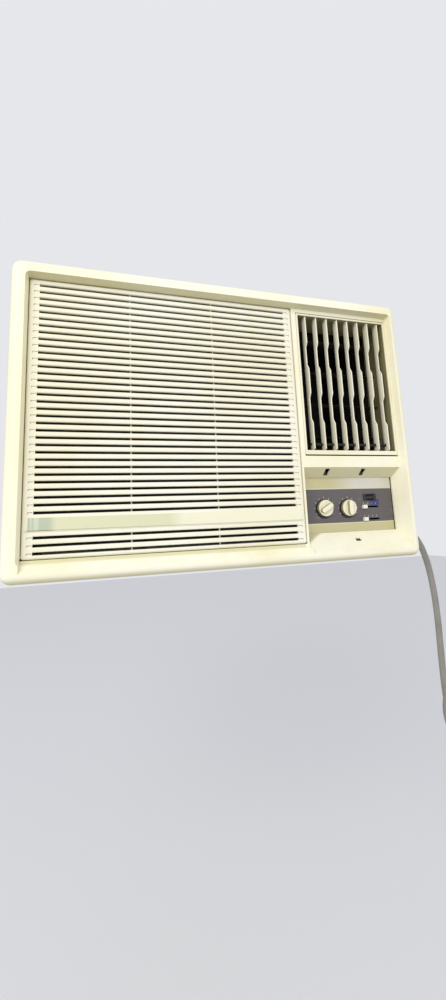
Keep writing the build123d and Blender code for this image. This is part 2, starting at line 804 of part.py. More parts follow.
# Sheet control box behind the plate, with the run capacitor
box_half_x = (control_right - control_left) / 2 + panel_wall
box_half_z = (control_top - control_bottom) / 2 + panel_wall
with BuildPart() as control_box:
    with BuildSketch(front_plane(plate_back_y)):
        with Locations((plate_mid_x, plate_mid_z)):
            Rectangle(2 * box_half_x, 2 * box_half_z)
    extrude(amount=-control_box_depth)
    with BuildSketch(front_plane(plate_back_y)):
        with Locations((plate_mid_x, plate_mid_z)):
            Rectangle(2 * (box_half_x - sheet), 2 * (box_half_z - sheet))
    extrude(amount=-(control_box_depth - sheet), mode=Mode.SUBTRACT)
save(control_box, "control_box")

with BuildPart() as run_capacitor:
    capacitor_floor = plate_mid_z - box_half_z + sheet
    capacitor_y = plate_back_y + control_box_depth - 2 * capacitor_radius
    ends = [control_right - 2 * capacitor_radius + side * capacitor_radius / 2 for side in (-1, 1)]
    with BuildSketch(Plane.XY.offset(capacitor_floor)):
        with Locations(*[(x, capacitor_y) for x in ends]):
            RegularPolygon(capacitor_radius, body_sides)
        make_hull()
    extrude(amount=capacitor_height)
    chamfer(run_capacitor.faces().sort_by(Axis.Z)[-1].edges(), control_plate_thickness)
    with Locations(*[(x, capacitor_y, capacitor_floor + capacitor_height + terminal_height / 2) for x in ends]):
        Box(terminal_height / 2, control_plate_thickness / 2, terminal_height)
save(run_capacitor, "run_capacitor")

# Outer cabinet: a sheet sleeve with slotted vents near the back
back_y = cabinet_depth / 2
with BuildPart() as outer_cabinet:
    with BuildSketch(front_plane(back_y)):
        with Locations((0, cabinet_height / 2)):
            RectangleRounded(cabinet_width, cabinet_height, 3 * sheet)
            RectangleRounded(cabinet_width - 2 * sheet, cabinet_height - 2 * sheet, 2 * sheet, mode=Mode.SUBTRACT)
    extrude(amount=cabinet_depth)
    vent_centre_y = back_y - vent_back_margin
    for side in (-1, 1):
        with Locations(Plane(origin=(side * cabinet_width / 2, vent_centre_y, cabinet_height / 2), x_dir=(0, 1, 0),
                             z_dir=(side, 0, 0))):
            with GridLocations(vent_length + vent_gap, vent_pitch, 2, vent_rows):
                Box(vent_length, vent_slot, 4 * sheet, mode=Mode.SUBTRACT)
    with Locations((0, vent_centre_y, cabinet_height)):
        with GridLocations(2 * vent_length, vent_pitch, 3, vent_top_rows):
            Box(vent_length, vent_slot, 4 * sheet, mode=Mode.SUBTRACT)
save(outer_cabinet, "outer_cabinet")

# Base pan with raised edges and a drain spout at the back
pan_front_y = front_y + pan_inset
with BuildPart() as base_pan:
    with BuildSketch(Plane.XY.offset(sheet)):
        with Locations((0, (pan_front_y + back_y - sheet) / 2)):
            RectangleRounded(2 * pan_half, back_y - sheet - pan_front_y, 4 * sheet)
    extrude(amount=pan_edge)
    with BuildSketch(Plane.XY.offset(pan_floor)):
        with Locations((0, (pan_front_y + back_y - sheet) / 2)):
            RectangleRounded(2 * pan_half - 2 * sheet, back_y - 3 * sheet - pan_front_y, 3 * sheet)
    extrude(amount=pan_edge, mode=Mode.SUBTRACT)
    rod((drain_x, back_y - sheet, pan_floor + 2 * drain_radius), (0, 1, 0), drain_radius + sheet, drain_length)
    rod((drain_x, back_y - 3 * sheet, pan_floor + 2 * drain_radius), (0, 1, 0), drain_radius, 2 * drain_length,
        mode=Mode.SUBTRACT)
save(base_pan, "base_pan")

# Bulkhead between the room side and the outdoor side, with a vent window
vent_low = vent_door_z - vent_window / 2
vent_high = vent_door_z + vent_window / 2
door_hinge_y = bulkhead_y + bulkhead_sheet + door_pin_radius * 2
door_hinge_z = vent_high + 2 * door_pin_radius
pin_half = vent_window / 2 + door_lap + joint_gap + lug_width
with BuildPart() as bulkhead:
    with BuildSketch(front_plane(bulkhead_y + bulkhead_sheet)):
        with BuildLine():
            Polyline(
                (-bulkhead_half, pan_floor),
                (bulkhead_half, pan_floor),
                (bulkhead_half, inner_top - joint_gap),
                (-bulkhead_half, inner_top - joint_gap),
                close=True,
            )
        make_face()
        with Locations((fan_axis_x, fan_axis_z)):
            RegularPolygon(motor_hub_radius + 4 * joint_gap, ring_sides, mode=Mode.SUBTRACT)
        with Locations((vent_door_x, vent_door_z)):
            Rectangle(vent_window, vent_window, mode=Mode.SUBTRACT)
        with Locations((line_x, suction_z), (line_x, liquid_z)):
            RegularPolygon(2 * suction_radius, pin_sides, mode=Mode.SUBTRACT)
    extrude(amount=bulkhead_sheet)
    for side in (-1, 1):
        middle = vent_door_x + side * (pin_half - lug_width / 2)
        span(
            (middle - lug_width / 2, middle + lug_width / 2),
            (bulkhead_y + bulkhead_sheet, door_hinge_y + 2 * door_pin_radius),
            (door_hinge_z - 2 * door_pin_radius, door_hinge_z + 2 * door_pin_radius),
        )
    socket((vent_door_x - vent_window, door_hinge_y, door_hinge_z), (1, 0, 0), door_pin_radius, 2 * vent_window)
save(bulkhead, "bulkhead")

with BuildPart() as vent_door:
    door_y = bulkhead_y + bulkhead_sheet + joint_gap
    span(
        (vent_door_x - vent_window / 2 - door_lap, vent_door_x + vent_window / 2 + door_lap),
        (door_y, door_y + bulkhead_sheet),
        (vent_low - door_lap, door_hinge_z),
    )
    rod((vent_door_x - pin_half, door_hinge_y, door_hinge_z), (1, 0, 0), door_pin_radius, 2 * pin_half)
    span(
        (vent_door_x - vent_window / 2 + joint_gap, vent_door_x + vent_window / 2 - joint_gap),
        (door_y, door_hinge_y),
        (door_hinge_z - 2 * door_pin_radius, door_hinge_z),
    )
save(vent_door, "vent_door")

# Heat exchangers: grooved fin packs between end plates
evaporator_y = front_y + evaporator_start
condenser_y = front_y + condenser_start
evaporator_left = grille_left + end_plate + bend_radius + bend_tube
evaporator_right = grille_right - evaporator_end_gap
condenser_half = bulkhead_half - bend_radius - 2 * bend_tube
for name, y, left, right, face_y in (
    ("evaporator_coil", evaporator_y, evaporator_left, evaporator_right, evaporator_y),
    ("condenser_coil", condenser_y, -condenser_half, condenser_half, condenser_y + coil_thickness),
):
    with BuildPart() as coil_pack:
        span((left, right), (y, y + coil_thickness), (pan_floor, coil_top))
        fins = int((right - left - 2 * end_plate) / fin_pitch)
        with Locations(((left + right) / 2, face_y, (pan_floor + coil_top) / 2)):
            with GridLocations(fin_pitch, 1, fins, 1):
                Box(fin_gap, 2 * fin_groove, coil_top - pan_floor - 2 * end_plate, mode=Mode.SUBTRACT)
    save(coil_pack, name)

for name, y, left, right in (
    ("evaporator_bends", evaporator_y, evaporator_left, evaporator_right),
    ("condenser_bends", condenser_y, -condenser_half, condenser_half),
):
    with BuildPart() as bends:
        for x, side, first in ((left, -1, 1), (right, 1, 0)):
            for row in range(first, 2 * bend_count, 2):
                z = coil_top - bend_margin - row * 2 * bend_radius
                shoulder = bend_radius / 2
                with BuildLine():
                    hairpin = Polyline(*[
                        (x + side * out, y + coil_thickness / 2, z + up)
                        for out, up in (
                            (0, -bend_radius),
                            (shoulder, -bend_radius),
                            (bend_radius, -shoulder),
                            (bend_radius, shoulder),
                            (shoulder, bend_radius),
                            (0, bend_radius),
                        )
                    ])
                with BuildSketch(Plane(origin=hairpin @ 0, x_dir=(0, 1, 0), z_dir=(side, 0, 0))):
                    RegularPolygon(bend_tube, tube_sides)
                sweep(path=hairpin, transition=Transition.RIGHT)
    save(bends, name)

# Rotating set: one shaft carries the blower wheel and the condenser fan
wheel_y = front_y + wheel_start
motor_y = front_y + motor_start
fan_y = front_y + condenser_fan_start
shaft_start = wheel_y - wheel_plate
shaft_end = fan_y + fan_depth + wheel_plate
with BuildPart() as fan_shaft:
    rod((fan_axis_x, shaft_start, fan_axis_z), (0, 1, 0), shaft_radius, shaft_end - shaft_start)
save(fan_shaft, "fan_shaft")

with BuildPart() as wheel_blade:
    with BuildSketch(front_plane(wheel_y + wheel_width)):
        with BuildLine():
            inner = wheel_radius - wheel_blade_depth
            Line((inner, -wheel_blade_depth / 2), (wheel_radius - wheel_plate, 0))
        trace(line_width=wheel_blade_thickness)
    extrude(amount=wheel_width)

fan_centre = Location((fan_axis_x, 0, fan_axis_z))
with BuildPart() as blower_wheel:
    with BuildSketch(front_plane(wheel_y + wheel_width)):
        with Locations((fan_axis_x, fan_axis_z)):
            RegularPolygon(wheel_radius, wheel_blades)
    extrude(amount=wheel_plate)
    with BuildSketch(front_plane(wheel_y + wheel_width)):
        with Locations((fan_axis_x, fan_axis_z)):
            RegularPolygon(wheel_hub_radius, pin_sides)
    extrude(amount=wheel_width / 2)
    socket((fan_axis_x, wheel_y, fan_axis_z), (0, 1, 0), shaft_radius, wheel_width + 1)
    with BuildSketch(front_plane(wheel_y + wheel_plate)):
        with Locations((fan_axis_x, fan_axis_z)):
            RegularPolygon(wheel_radius, wheel_blades)
            RegularPolygon(wheel_radius - wheel_blade_depth + wheel_plate, wheel_blades, mode=Mode.SUBTRACT)
    extrude(amount=wheel_plate)
    for step in range(wheel_blades):
        add(fan_centre * Rotation(0, step * 360 / wheel_blades, 0) * wheel_blade.part)
save(blower_wheel, "blower_wheel")

blade_tip = condenser_fan_radius - fan_ring / 2
pitched = Plane(origin=(0, fan_y + fan_depth / 2, 0), x_dir=(1, 0, 0), z_dir=(0, -1, 0)).rotated((fan_pitch, 0, 0))
with BuildPart() as fan_blade:
    with BuildSketch(pitched):
        with BuildLine():
            Polyline(
                (fan_hub_radius - wheel_plate, -fan_root_width / 2),
                (blade_tip + fan_ring, -fan_blade_width / 2),
                (blade_tip + fan_ring, fan_blade_width / 2),
                (fan_hub_radius - wheel_plate, fan_root_width / 2),
                close=True,
            )
        make_face()
    extrude(amount=fan_blade_thickness / 2, both=True)
    rod((0, fan_y - fan_depth, 0), (0, 1, 0), blade_tip, 3 * fan_depth, mode=Mode.INTERSECT)

with BuildPart() as condenser_fan:
    with BuildSketch(front_plane(fan_y + fan_depth)):
        with Locations((fan_axis_x, fan_axis_z)):
            RegularPolygon(fan_hub_radius, 4 * fan_blades)
    extrude(amount=fan_depth)
    chamfer(condenser_fan.faces().sort_by(Axis.Y)[-1].edges(), wheel_plate * 2)
    for step in range(fan_blades):
        add(fan_centre * Rotation(0, step * 360 / fan_blades, 0) * fan_blade.part)
    with BuildSketch(front_plane(fan_y + fan_depth)):
        with Locations((fan_axis_x, fan_axis_z)):
            RegularPolygon(condenser_fan_radius, ring_sides)
            RegularPolygon(condenser_fan_radius - fan_ring, ring_sides, mode=Mode.SUBTRACT)
    extrude(amount=fan_depth / 2)
    socket((fan_axis_x, fan_y - 1, fan_axis_z), (0, 1, 0), shaft_radius, fan_depth + 2)
save(condenser_fan, "condenser_fan")

# Fan motor on its cradle
hub_start = bulkhead_y - wheel_plate
hub_end = motor_y + motor_length + wheel_plate * 2
with BuildPart() as fan_motor:
    bar((fan_axis_x, motor_y, fan_axis_z), (0, 1, 0), motor_radius, motor_length, sides=ring_sides)
    ends = fan_motor.faces().sort_by(Axis.Y)
    chamfer(ends[0].edges() + ends[-1].edges(), motor_shoulder)
    bar((fan_axis_x, hub_start, fan_axis_z), (0, 1, 0), motor_hub_radius, hub_end - hub_start, sides=ring_sides)
    socket((fan_axis_x, hub_start - 1, fan_axis_z), (0, 1, 0), shaft_radius, hub_end - hub_start + 2)
save(fan_motor, "fan_motor")

with BuildPart() as motor_bracket:
    bracket_half = bracket_foot / 2
    for y in (motor_y + line_bend, motor_y + motor_length - line_bend - bracket_sheet):
        with BuildSketch(front_plane(y + bracket_sheet)):
            with BuildLine():
                Polyline(
                    (fan_axis_x - bracket_half * 1.3, pan_floor),
                    (fan_axis_x + bracket_half * 1.3, pan_floor),
                    (fan_axis_x + bracket_half, fan_axis_z),
                    (fan_axis_x - bracket_half, fan_axis_z),
                    close=True,
                )
            make_face()
            with Locations((fan_axis_x, fan_axis_z)):
                RegularPolygon(motor_radius + joint_gap, ring_sides, mode=Mode.SUBTRACT)
            with Locations((fan_axis_x, fan_axis_z / 3)):
                Rectangle(bracket_half / 2, bracket_half, mode=Mode.SUBTRACT)
        extrude(amount=bracket_sheet)
    span(
        (fan_axis_x - bracket_half * 1.3, fan_axis_x + bracket_half * 1.3),
        (motor_y + line_bend, motor_y + motor_length - line_bend),
        (pan_floor, pan_floor + bracket_sheet),
    )
save(motor_bracket, "motor_bracket")

# Blower scroll: three quarters of growing radius in short flats, open to the discharge duct
orifice_y = front_y + orifice_start
with BuildPart() as blower_scroll:
    with BuildSketch(front_plane(bulkhead_y)):
        with BuildLine():
            scroll = [Vector(louvre_left, louvre_bottom + 2 * scroll_wall)]
            centre = Vector(fan_axis_x, fan_axis_z)
            radius = scroll_radius
            for quarter in range(3):
                for step in range(scroll_steps + 1):
                    turn = pi / 2 * (quarter + step / scroll_steps)
                    outward = Vector(cos(turn), -sin(turn))
                    if step or not quarter:
                        scroll.append(centre + outward * radius)
                centre = centre - outward * scroll_growth
                radius += scroll_growth
            Polyline(*scroll, (louvre_left, scroll[-1].Y))
        trace(line_width=scroll_wall)
    extrude(amount=bulkhead_y - orifice_y - sheet)
    with BuildSketch(front_plane(bulkhead_y)):
        with Locations((louvre_left + scroll_wall, louvre_mid_z)):
            Rectangle(2 * scroll_wall, 2 * louvre_height)
    extrude(amount=cabinet_depth, mode=Mode.SUBTRACT)
save(blower_scroll, "blower_scroll")

with BuildPart() as inlet_ring:
    inlet_right = line_x - 2 * suction_radius
    with BuildSketch(front_plane(orifice_y + sheet)):
        with Locations(((inlet_right - bulkhead_half) / 2, (coil_top + pan_floor) / 2)):
            Rectangle(inlet_right + bulkhead_half, coil_top - pan_floor)
        with Locations((fan_axis_x, fan_axis_z)):
            RegularPolygon(inlet_radius, ring_sides, mode=Mode.SUBTRACT)
    extrude(amount=sheet)
    with BuildSketch(front_plane(orifice_y + sheet)):
        with Locations((fan_axis_x, fan_axis_z)):
            RegularPolygon(inlet_radius + sheet, ring_sides)
            RegularPolygon(inlet_radius, ring_sides, mode=Mode.SUBTRACT)
    extrude(amount=-inlet_collar)
save(inlet_ring, "inlet_ring")

# Discharge duct from the scroll to the louvre
with BuildPart() as discharge_duct:
    duct_front = deck_y + louvre_depth
    with BuildSketch(front_plane(bulkhead_y)):
        with Locations((louvre_mid_x, louvre_mid_z)):
            Rectangle(louvre_width, louvre_height)
            Rectangle(louvre_width - 2 * bulkhead_sheet, louvre_height - 2 * bulkhead_sheet, mode=Mode.SUBTRACT)
    extrude(amount=bulkhead_y - duct_front)
    span(
        (louvre_left - 1, louvre_left + 2 * bulkhead_sheet),
        (orifice_y + sheet, bulkhead_y),
        (louvre_bottom + 2 * scroll_wall, louvre_top - 2 * scroll_wall),
        mode=Mode.SUBTRACT,
    )
save(discharge_duct, "discharge_duct")

# Shroud round the condenser fan
shroud_y = front_y + shroud_start
with BuildPart() as fan_shroud:
    with BuildSketch(front_plane(shroud_y + bulkhead_sheet)):
        with Locations(((shroud_right - bulkhead_half) / 2, (coil_top + pan_floor) / 2)):
            Rectangle(shroud_right + bulkhead_half, coil_top - pan_floor)
        with Locations((fan_axis_x, fan_axis_z)):
            RegularPolygon(condenser_fan_radius + shroud_gap, ring_sides, mode=Mode.SUBTRACT)
    extrude(amount=bulkhead_sheet)
    with BuildSketch(front_plane(shroud_y)):
        with Locations((fan_axis_x, fan_axis_z)):
            RegularPolygon(condenser_fan_radius + shroud_gap + bulkhead_sheet, ring_sides)
            RegularPolygon(condenser_fan_radius + shroud_gap, ring_sides, mode=Mode.SUBTRACT)
    extrude(amount=shroud_collar)
    span(
        (-bulkhead_half, shroud_right),
        (shroud_y + bulkhead_sheet, condenser_y),
        (coil_top - bulkhead_sheet, coil_top),
    )
save(fan_shroud, "fan_shroud")

# Compressor on rubber mounts, with its accumulator, drier and lines
mount_top = pan_floor + mount_height
body_low = mount_top + foot_thickness
body_high = body_low + compressor_height
mount_places = [
    (compressor_x + mount_reach * cos(angle), compressor_y + mount_reach * sin(angle))
    for angle in (2 * pi * step / mount_count for step in range(mount_count))
]
with BuildPart() as compressor:
    bar((compressor_x, compressor_y, body_low), (0, 0, 1), compressor_radius, compressor_height, sides=ring_sides)
    chamfer(compressor.faces().sort_by(Axis.Z)[-1].edges(), compressor_dome)
    with BuildSketch(Plane.XY.offset(mount_top)):
        with Locations(*mount_places):
            RegularPolygon(mount_radius, pin_sides)
        make_hull()
    extrude(amount=foot_thickness)
save(compressor, "compressor")

with BuildPart() as compressor_mounts:
    with BuildSketch(Plane.XY.offset(pan_floor)):
        with Locations(*mount_places):
            RegularPolygon(mount_radius - bulkhead_sheet, pin_sides)
    extrude(amount=mount_height)
save(compressor_mounts, "compressor_mounts")

accumulator_reach = compressor_radius + accumulator_radius + joint_gap
accumulator_x = compressor_x + accumulator_reach * cos(radians(accumulator_angle))
accumulator_y = compressor_y + accumulator_reach * sin(radians(accumulator_angle))
accumulator_top = accumulator_low + accumulator_height
with BuildPart() as accumulator:
    bar((accumulator_x, accumulator_y, accumulator_low), (0, 0, 1), accumulator_radius, accumulator_height,
        sides=body_sides)
    ends = accumulator.faces().sort_by(Axis.Z)
    chamfer(ends[0].edges() + ends[-1].edges(), accumulator_radius / 2)
save(accumulator, "accumulator")

drier_y = drier_start
with BuildPart() as filter_drier:
    bar((drier_x, drier_y, liquid_z), (0, 1, 0), drier_radius, drier_length, sides=body_sides)
    ends = filter_drier.faces().sort_by(Axis.Y)
    chamfer(ends[0].edges() + ends[-1].edges(), drier_radius / 2)
save(filter_drier, "filter_drier")

evaporator_mid_y = evaporator_y + coil_thickness / 2
drop_y = compressor_y - compressor_radius - line_bend
for name, tube_radius, runs in (
    ("suction_line", suction_radius, [[
        (evaporator_right, evaporator_mid_y, suction_z),
        (line_x, evaporator_mid_y, suction_z),
        (line_x, drop_y, suction_z),
        (line_x, drop_y, accumulator_top + 2 * line_bend),
        (accumulator_x, accumulator_y, accumulator_top + 2 * line_bend),
        (accumulator_x, accumulator_y, accumulator_top),
    ]]),
    ("liquid_line", liquid_radius, [
        [
            (evaporator_right, evaporator_mid_y, liquid_z),
            (line_x, evaporator_mid_y, liquid_z),
            (line_x, drop_y - 4 * line_bend, liquid_z),
            (drier_x, drop_y - 4 * line_bend, liquid_z),
            (drier_x, drier_y, liquid_z),
        ],
        [(drier_x, drier_y + drier_length, liquid_z), (drier_x, condenser_y, liquid_z)],
    ]),
    ("discharge_line", discharge_radius, [[
        (compressor_x, compressor_y, body_high),
        (compressor_x, compressor_y, body_high + discharge_rise),
        (compressor_x, condenser_y, body_high + discharge_rise),
    ]]),
):
    with BuildPart() as line:
        for points in runs:
            with BuildLine():
                route = Polyline(*points)
            with BuildSketch(Plane(origin=route @ 0, z_dir=route % 0)):
                RegularPolygon(tube_radius, tube_sides)
            sweep(path=route, transition=Transition.RIGHT)
    save(line, name)

# Supply cord: gland, hanging stretch, coil, tie and plug
route_points = [Vector(panel_width / 2 + x, front_y + y, z) for x, y, z in cord_route]
gland_axis = (route_points[1] - route_points[0]).normalized()
gland_tip = route_points[0]
panel_side_x = panel_width / 2
gland_reach = (gland_tip.X - panel_side_x) / gland_axis.X
gland_root = gland_tip - gland_axis * gland_reach
with BuildPart() as cord_gland:
    boot_start = gland_root - gland_axis * gland_base_radius
    with BuildSketch(Plane(origin=boot_start, x_dir=(0, 1, 0), z_dir=gland_axis)):
        RegularPolygon(gland_base_radius, body_sides)
    with BuildSketch(Plane(origin=gland_tip, x_dir=(0, 1, 0), z_dir=gland_axis)):
        RegularPolygon(gland_tip_radius, body_sides)
    loft(ruled=True)
    with BuildSketch(Plane(origin=(panel_side_x, gland_root.Y, gland_root.Z), z_dir=(1, 0, 0))):
        RegularPolygon(gland_flange, tube_sides)
    extrude(amount=gland_flange_thickness)
    span(
        (panel_side_x - 4 * gland_base_radius, panel_side_x),
        (gland_root.Y - 4 * gland_base_radius, gland_root.Y + 4 * gland_base_radius),
        (gland_root.Z - 4 * gland_base_radius, gland_root.Z + 6 * gland_base_radius),
        mode=Mode.SUBTRACT,
    )
save(cord_gland, "cord_gland")


def corner_radii(points):
    """The largest arc that each corner of a free cord's route has room for."""
    radii = []
    for before, corner, after in zip(points, points[1:], points[2:]):
        arriving = corner - before
        leaving = after - corner
        half_turn = radians(arriving.get_angle(leaving)) / 2
        radii.append(0.45 * min(arriving.length, leaving.length) * cos(half_turn) / sin(half_turn))
    return radii


bends = corner_radii(route_points)
print("cord radii", [round(bend) for bend in bends])
with BuildPart() as power_cord:
    with BuildLine():
        hanging = FilletPolyline(*route_points, radius=bends)
    with BuildSketch(Plane(origin=hanging @ 0, x_dir=(0, 1, 0), z_dir=hanging % 0)):
        RegularPolygon(cord_diameter / 2, cord_sides)
    sweep(path=hanging)
cord_section = power_cord.faces().sort_by(hanging)[0].area
print("cord volume over section times length", power_cord.part.volume / (cord_section * hanging.length))
save(power_cord, "power_cord")

lead_in = (route_points[-1] - route_points[-2]).normalized()
coil_start = route_points[-1] + lead_in * cord_diameter
coil_centre = coil_start + Vector(coil_radius, 0, 0)
coil_turns = 2 * coil_turns_in + coil_turns_up


def coil_state(turn):
    """Place and direction on the coil: in at a steady rate, up one layer, and out again."""
    climb = min(max((turn - coil_turns_in) / coil_turns_up, 0), 1)
    inward = min(turn, coil_turns_in, coil_turns - turn) + coil_turns_up * climb * (1 - climb)
    radius = coil_radius - coil_pitch * inward
    angle = pi + 2 * pi * turn
    rate = coil_pitch * (2 * climb - 1)
    lift = coil_layer * climb * climb * (3 - 2 * climb)
    lift_rate = coil_layer * 6 * climb * (1 - climb) / coil_turns_up
    place = coil_centre + Vector(radius * cos(angle), lift, radius * sin(angle))
    heading = Vector(
        rate * cos(angle) - 2 * pi * radius * sin(angle),
        lift_rate,
        rate * sin(angle) + 2 * pi * radius * cos(angle),
    )
    return place, heading.normalized()


def biarc_middle(start, start_heading, end, end_heading):
    """The point where two tangent arcs between two headings meet, and the heading there."""
    chord = end - start
    both = start_heading + end_heading
    spread = 2 * (1 - start_heading.dot(end_heading))
    reach = (sqrt(chord.dot(both) ** 2 + spread * chord.dot(chord)) - chord.dot(both)) / spread
    first = start + start_heading * reach
    second = end - end_heading * reach
    return (first + second) * 0.5, (second - first).normalized()


quarter_turns = int(4 * coil_turns)
with BuildPart() as cord_coil:
    with BuildLine() as winding:
        Line(route_points[-1], coil_start)
        for quarter in range(quarter_turns):
            start, start_heading = coil_state(quarter / 4)
            end, end_heading = coil_state((quarter + 1) / 4)
            middle, middle_heading = biarc_middle(start, start_heading, end, end_heading)
            TangentArc(start, middle, tangent=start_heading)
            TangentArc(middle, end, tangent=middle_heading)
        coil_end, coil_heading = coil_state(coil_turns)
        plug_seat = coil_end + coil_heading * cord_diameter
        Line(coil_end, plug_seat)
    with BuildSketch(Plane(origin=route_points[-1], x_dir=(0, 1, 0), z_dir=lead_in)):
        RegularPolygon(cord_diameter / 2, cord_sides)
    sweep(path=winding.wires()[0])
save(cord_coil, "cord_coil")

samples = [coil_state(step * coil_turns / 280)[0] for step in range(281)]
apart = 20
least = min(
    (first - second).length
    for index, first in enumerate(samples)
    for second in samples[index + apart:]
)
print("cord length", hanging.length + winding.wires()[0].length, "least gap in coil", least - cord_diameter)

# Tie round the coil's lowest part
inner_turn = coil_radius - coil_pitch * coil_turns_in - cord_diameter / 2 - joint_gap
outer_turn = coil_radius + cord_diameter / 2 + joint_gap
with BuildPart() as cord_tie:
    tie_mid = coil_centre + Vector(0, coil_layer / 2, -(inner_turn + outer_turn) / 2)
    tie_tall = outer_turn - inner_turn
    tie_deep = coil_layer + cord_diameter + 2 * joint_gap
    with BuildSketch(Plane(origin=tie_mid - Vector(tie_width / 2, 0, 0), x_dir=(0, 1, 0), z_dir=(1, 0, 0))):
        Rectangle(tie_deep + 2 * tie_thickness, tie_tall + 2 * tie_thickness)
        Rectangle(tie_deep, tie_tall, mode=Mode.SUBTRACT)
    extrude(amount=tie_width)
save(cord_tie, "cord_tie")

plug_plane = Plane(origin=plug_seat, x_dir=(0, 1, 0), z_dir=coil_heading)
plug_front = plug_seat + coil_heading * (plug_boot + plug_length)
with BuildPart() as plug_body:
    with BuildSketch(plug_plane.offset(plug_boot)):
        Rectangle(plug_thickness, plug_width)
        chamfer(vertices(), plug_corner)
    extrude(amount=plug_length)
    chamfer(plug_body.faces().sort_by(Axis.Z)[0].edges(), plug_corner / 2)
    with BuildSketch(plug_plane):
        RegularPolygon(plug_neck, body_sides)
    with BuildSketch(plug_plane.offset(plug_boot + plug_corner)):
        RegularPolygon(plug_neck + plug_boot / 4, body_sides)
    loft(ruled=True)
save(plug_body, "plug_body")

with BuildPart() as plug_pins:
    with BuildSketch(plug_plane.offset(plug_boot + plug_length)):
        live = -earth_offset / 2
        with Locations((live, -pin_spacing / 2), (live, pin_spacing / 2), (earth_offset, 0)):
            RegularPolygon(pin_radius, pin_sides)
    extrude(amount=pin_length)
save(plug_pins, "plug_pins")
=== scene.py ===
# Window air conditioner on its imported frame: camera, cord, finishes, small fittings and light.
import math

import bmesh
import bpy
from mathutils import Matrix, Vector


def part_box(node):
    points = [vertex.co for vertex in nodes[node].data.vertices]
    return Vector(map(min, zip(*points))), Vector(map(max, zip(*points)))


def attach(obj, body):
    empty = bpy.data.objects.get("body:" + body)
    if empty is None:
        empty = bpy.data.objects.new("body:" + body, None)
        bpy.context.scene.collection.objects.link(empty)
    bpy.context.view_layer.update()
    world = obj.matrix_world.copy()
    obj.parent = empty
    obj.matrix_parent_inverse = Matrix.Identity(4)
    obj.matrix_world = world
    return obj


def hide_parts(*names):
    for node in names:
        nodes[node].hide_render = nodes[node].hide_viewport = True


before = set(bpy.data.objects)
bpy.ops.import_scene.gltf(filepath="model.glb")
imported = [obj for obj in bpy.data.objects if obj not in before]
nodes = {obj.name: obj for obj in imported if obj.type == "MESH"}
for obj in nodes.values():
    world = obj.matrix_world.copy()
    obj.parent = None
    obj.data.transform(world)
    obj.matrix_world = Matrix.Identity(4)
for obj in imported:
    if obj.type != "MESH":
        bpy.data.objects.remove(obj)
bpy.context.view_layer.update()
mm = 0.001  # made pieces have their sizes in millimetres; the camera, looks and light are in metres
knobNodes = ("selector_knob", "thermostat_knob")
leverNodes = ("vent_lever", "swing_lever")


def middleOf(node):
    low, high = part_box(node)
    return (low + high) / 2


# Camera at the photograph's place, turned by its own axes
cameraFit = {
    "place": (-0.2184, -0.9882, 0.0515),
    "right": (0.95431, -0.29571, -0.04297),
    "up": (-0.00881, -0.17155, 0.98514),
    "back": (-0.29869, -0.93975, -0.16632),
    "lens": 15.564,
    "sensor": 36,
    "shiftY": -0.048,
    "clipEnd": 50,
}


def placeCamera(fit):
    lens = bpy.data.cameras.new("photoCamera")
    lens.sensor_width = fit["sensor"]
    lens.lens = fit["lens"]
    lens.shift_y = fit["shiftY"]
    lens.clip_end = fit["clipEnd"]
    camera = bpy.data.objects.new("photoCamera", lens)
    bpy.context.scene.collection.objects.link(camera)
    turn = Matrix((fit["right"], fit["up"], fit["back"])).transposed().to_4x4()
    camera.matrix_world = Matrix.Translation(fit["place"]) @ turn
    bpy.context.scene.camera = camera


placeCamera(cameraFit)
print("camera placed")


# Shader maths as plain expressions
class Wire:
    def __init__(self, tree, socket):
        self.tree = tree
        self.socket = socket

    def math(self, operation, *others):
        step = self.tree.nodes.new("ShaderNodeMath")
        step.operation = operation
        self.tree.links.new(self.socket, step.inputs[0])
        for place, other in enumerate(others, start=1):
            plug(self.tree, step.inputs[place], other)
        return Wire(self.tree, step.outputs[0])

    def reflected(self, operation, other):
        step = self.tree.nodes.new("ShaderNodeMath")
        step.operation = operation
        plug(self.tree, step.inputs[0], other)
        self.tree.links.new(self.socket, step.inputs[1])
        return Wire(self.tree, step.outputs[0])

    def __add__(self, other):
        return self.math("ADD", other)

    def __radd__(self, other):
        return self.math("ADD", other)

    def __sub__(self, other):
        return self.math("SUBTRACT", other)

    def __rsub__(self, other):
        return self.reflected("SUBTRACT", other)

    def __mul__(self, other):
        return self.math("MULTIPLY", other)

    def __rmul__(self, other):
        return self.math("MULTIPLY", other)

    def __gt__(self, other):
        return self.math("GREATER_THAN", other)

    def __lt__(self, other):
        return self.math("LESS_THAN", other)

    def __abs__(self):
        return self.math("ABSOLUTE")


def plug(tree, socket, value):
    if isinstance(value, Wire):
        tree.links.new(value.socket, socket)
    else:
        socket.default_value = value


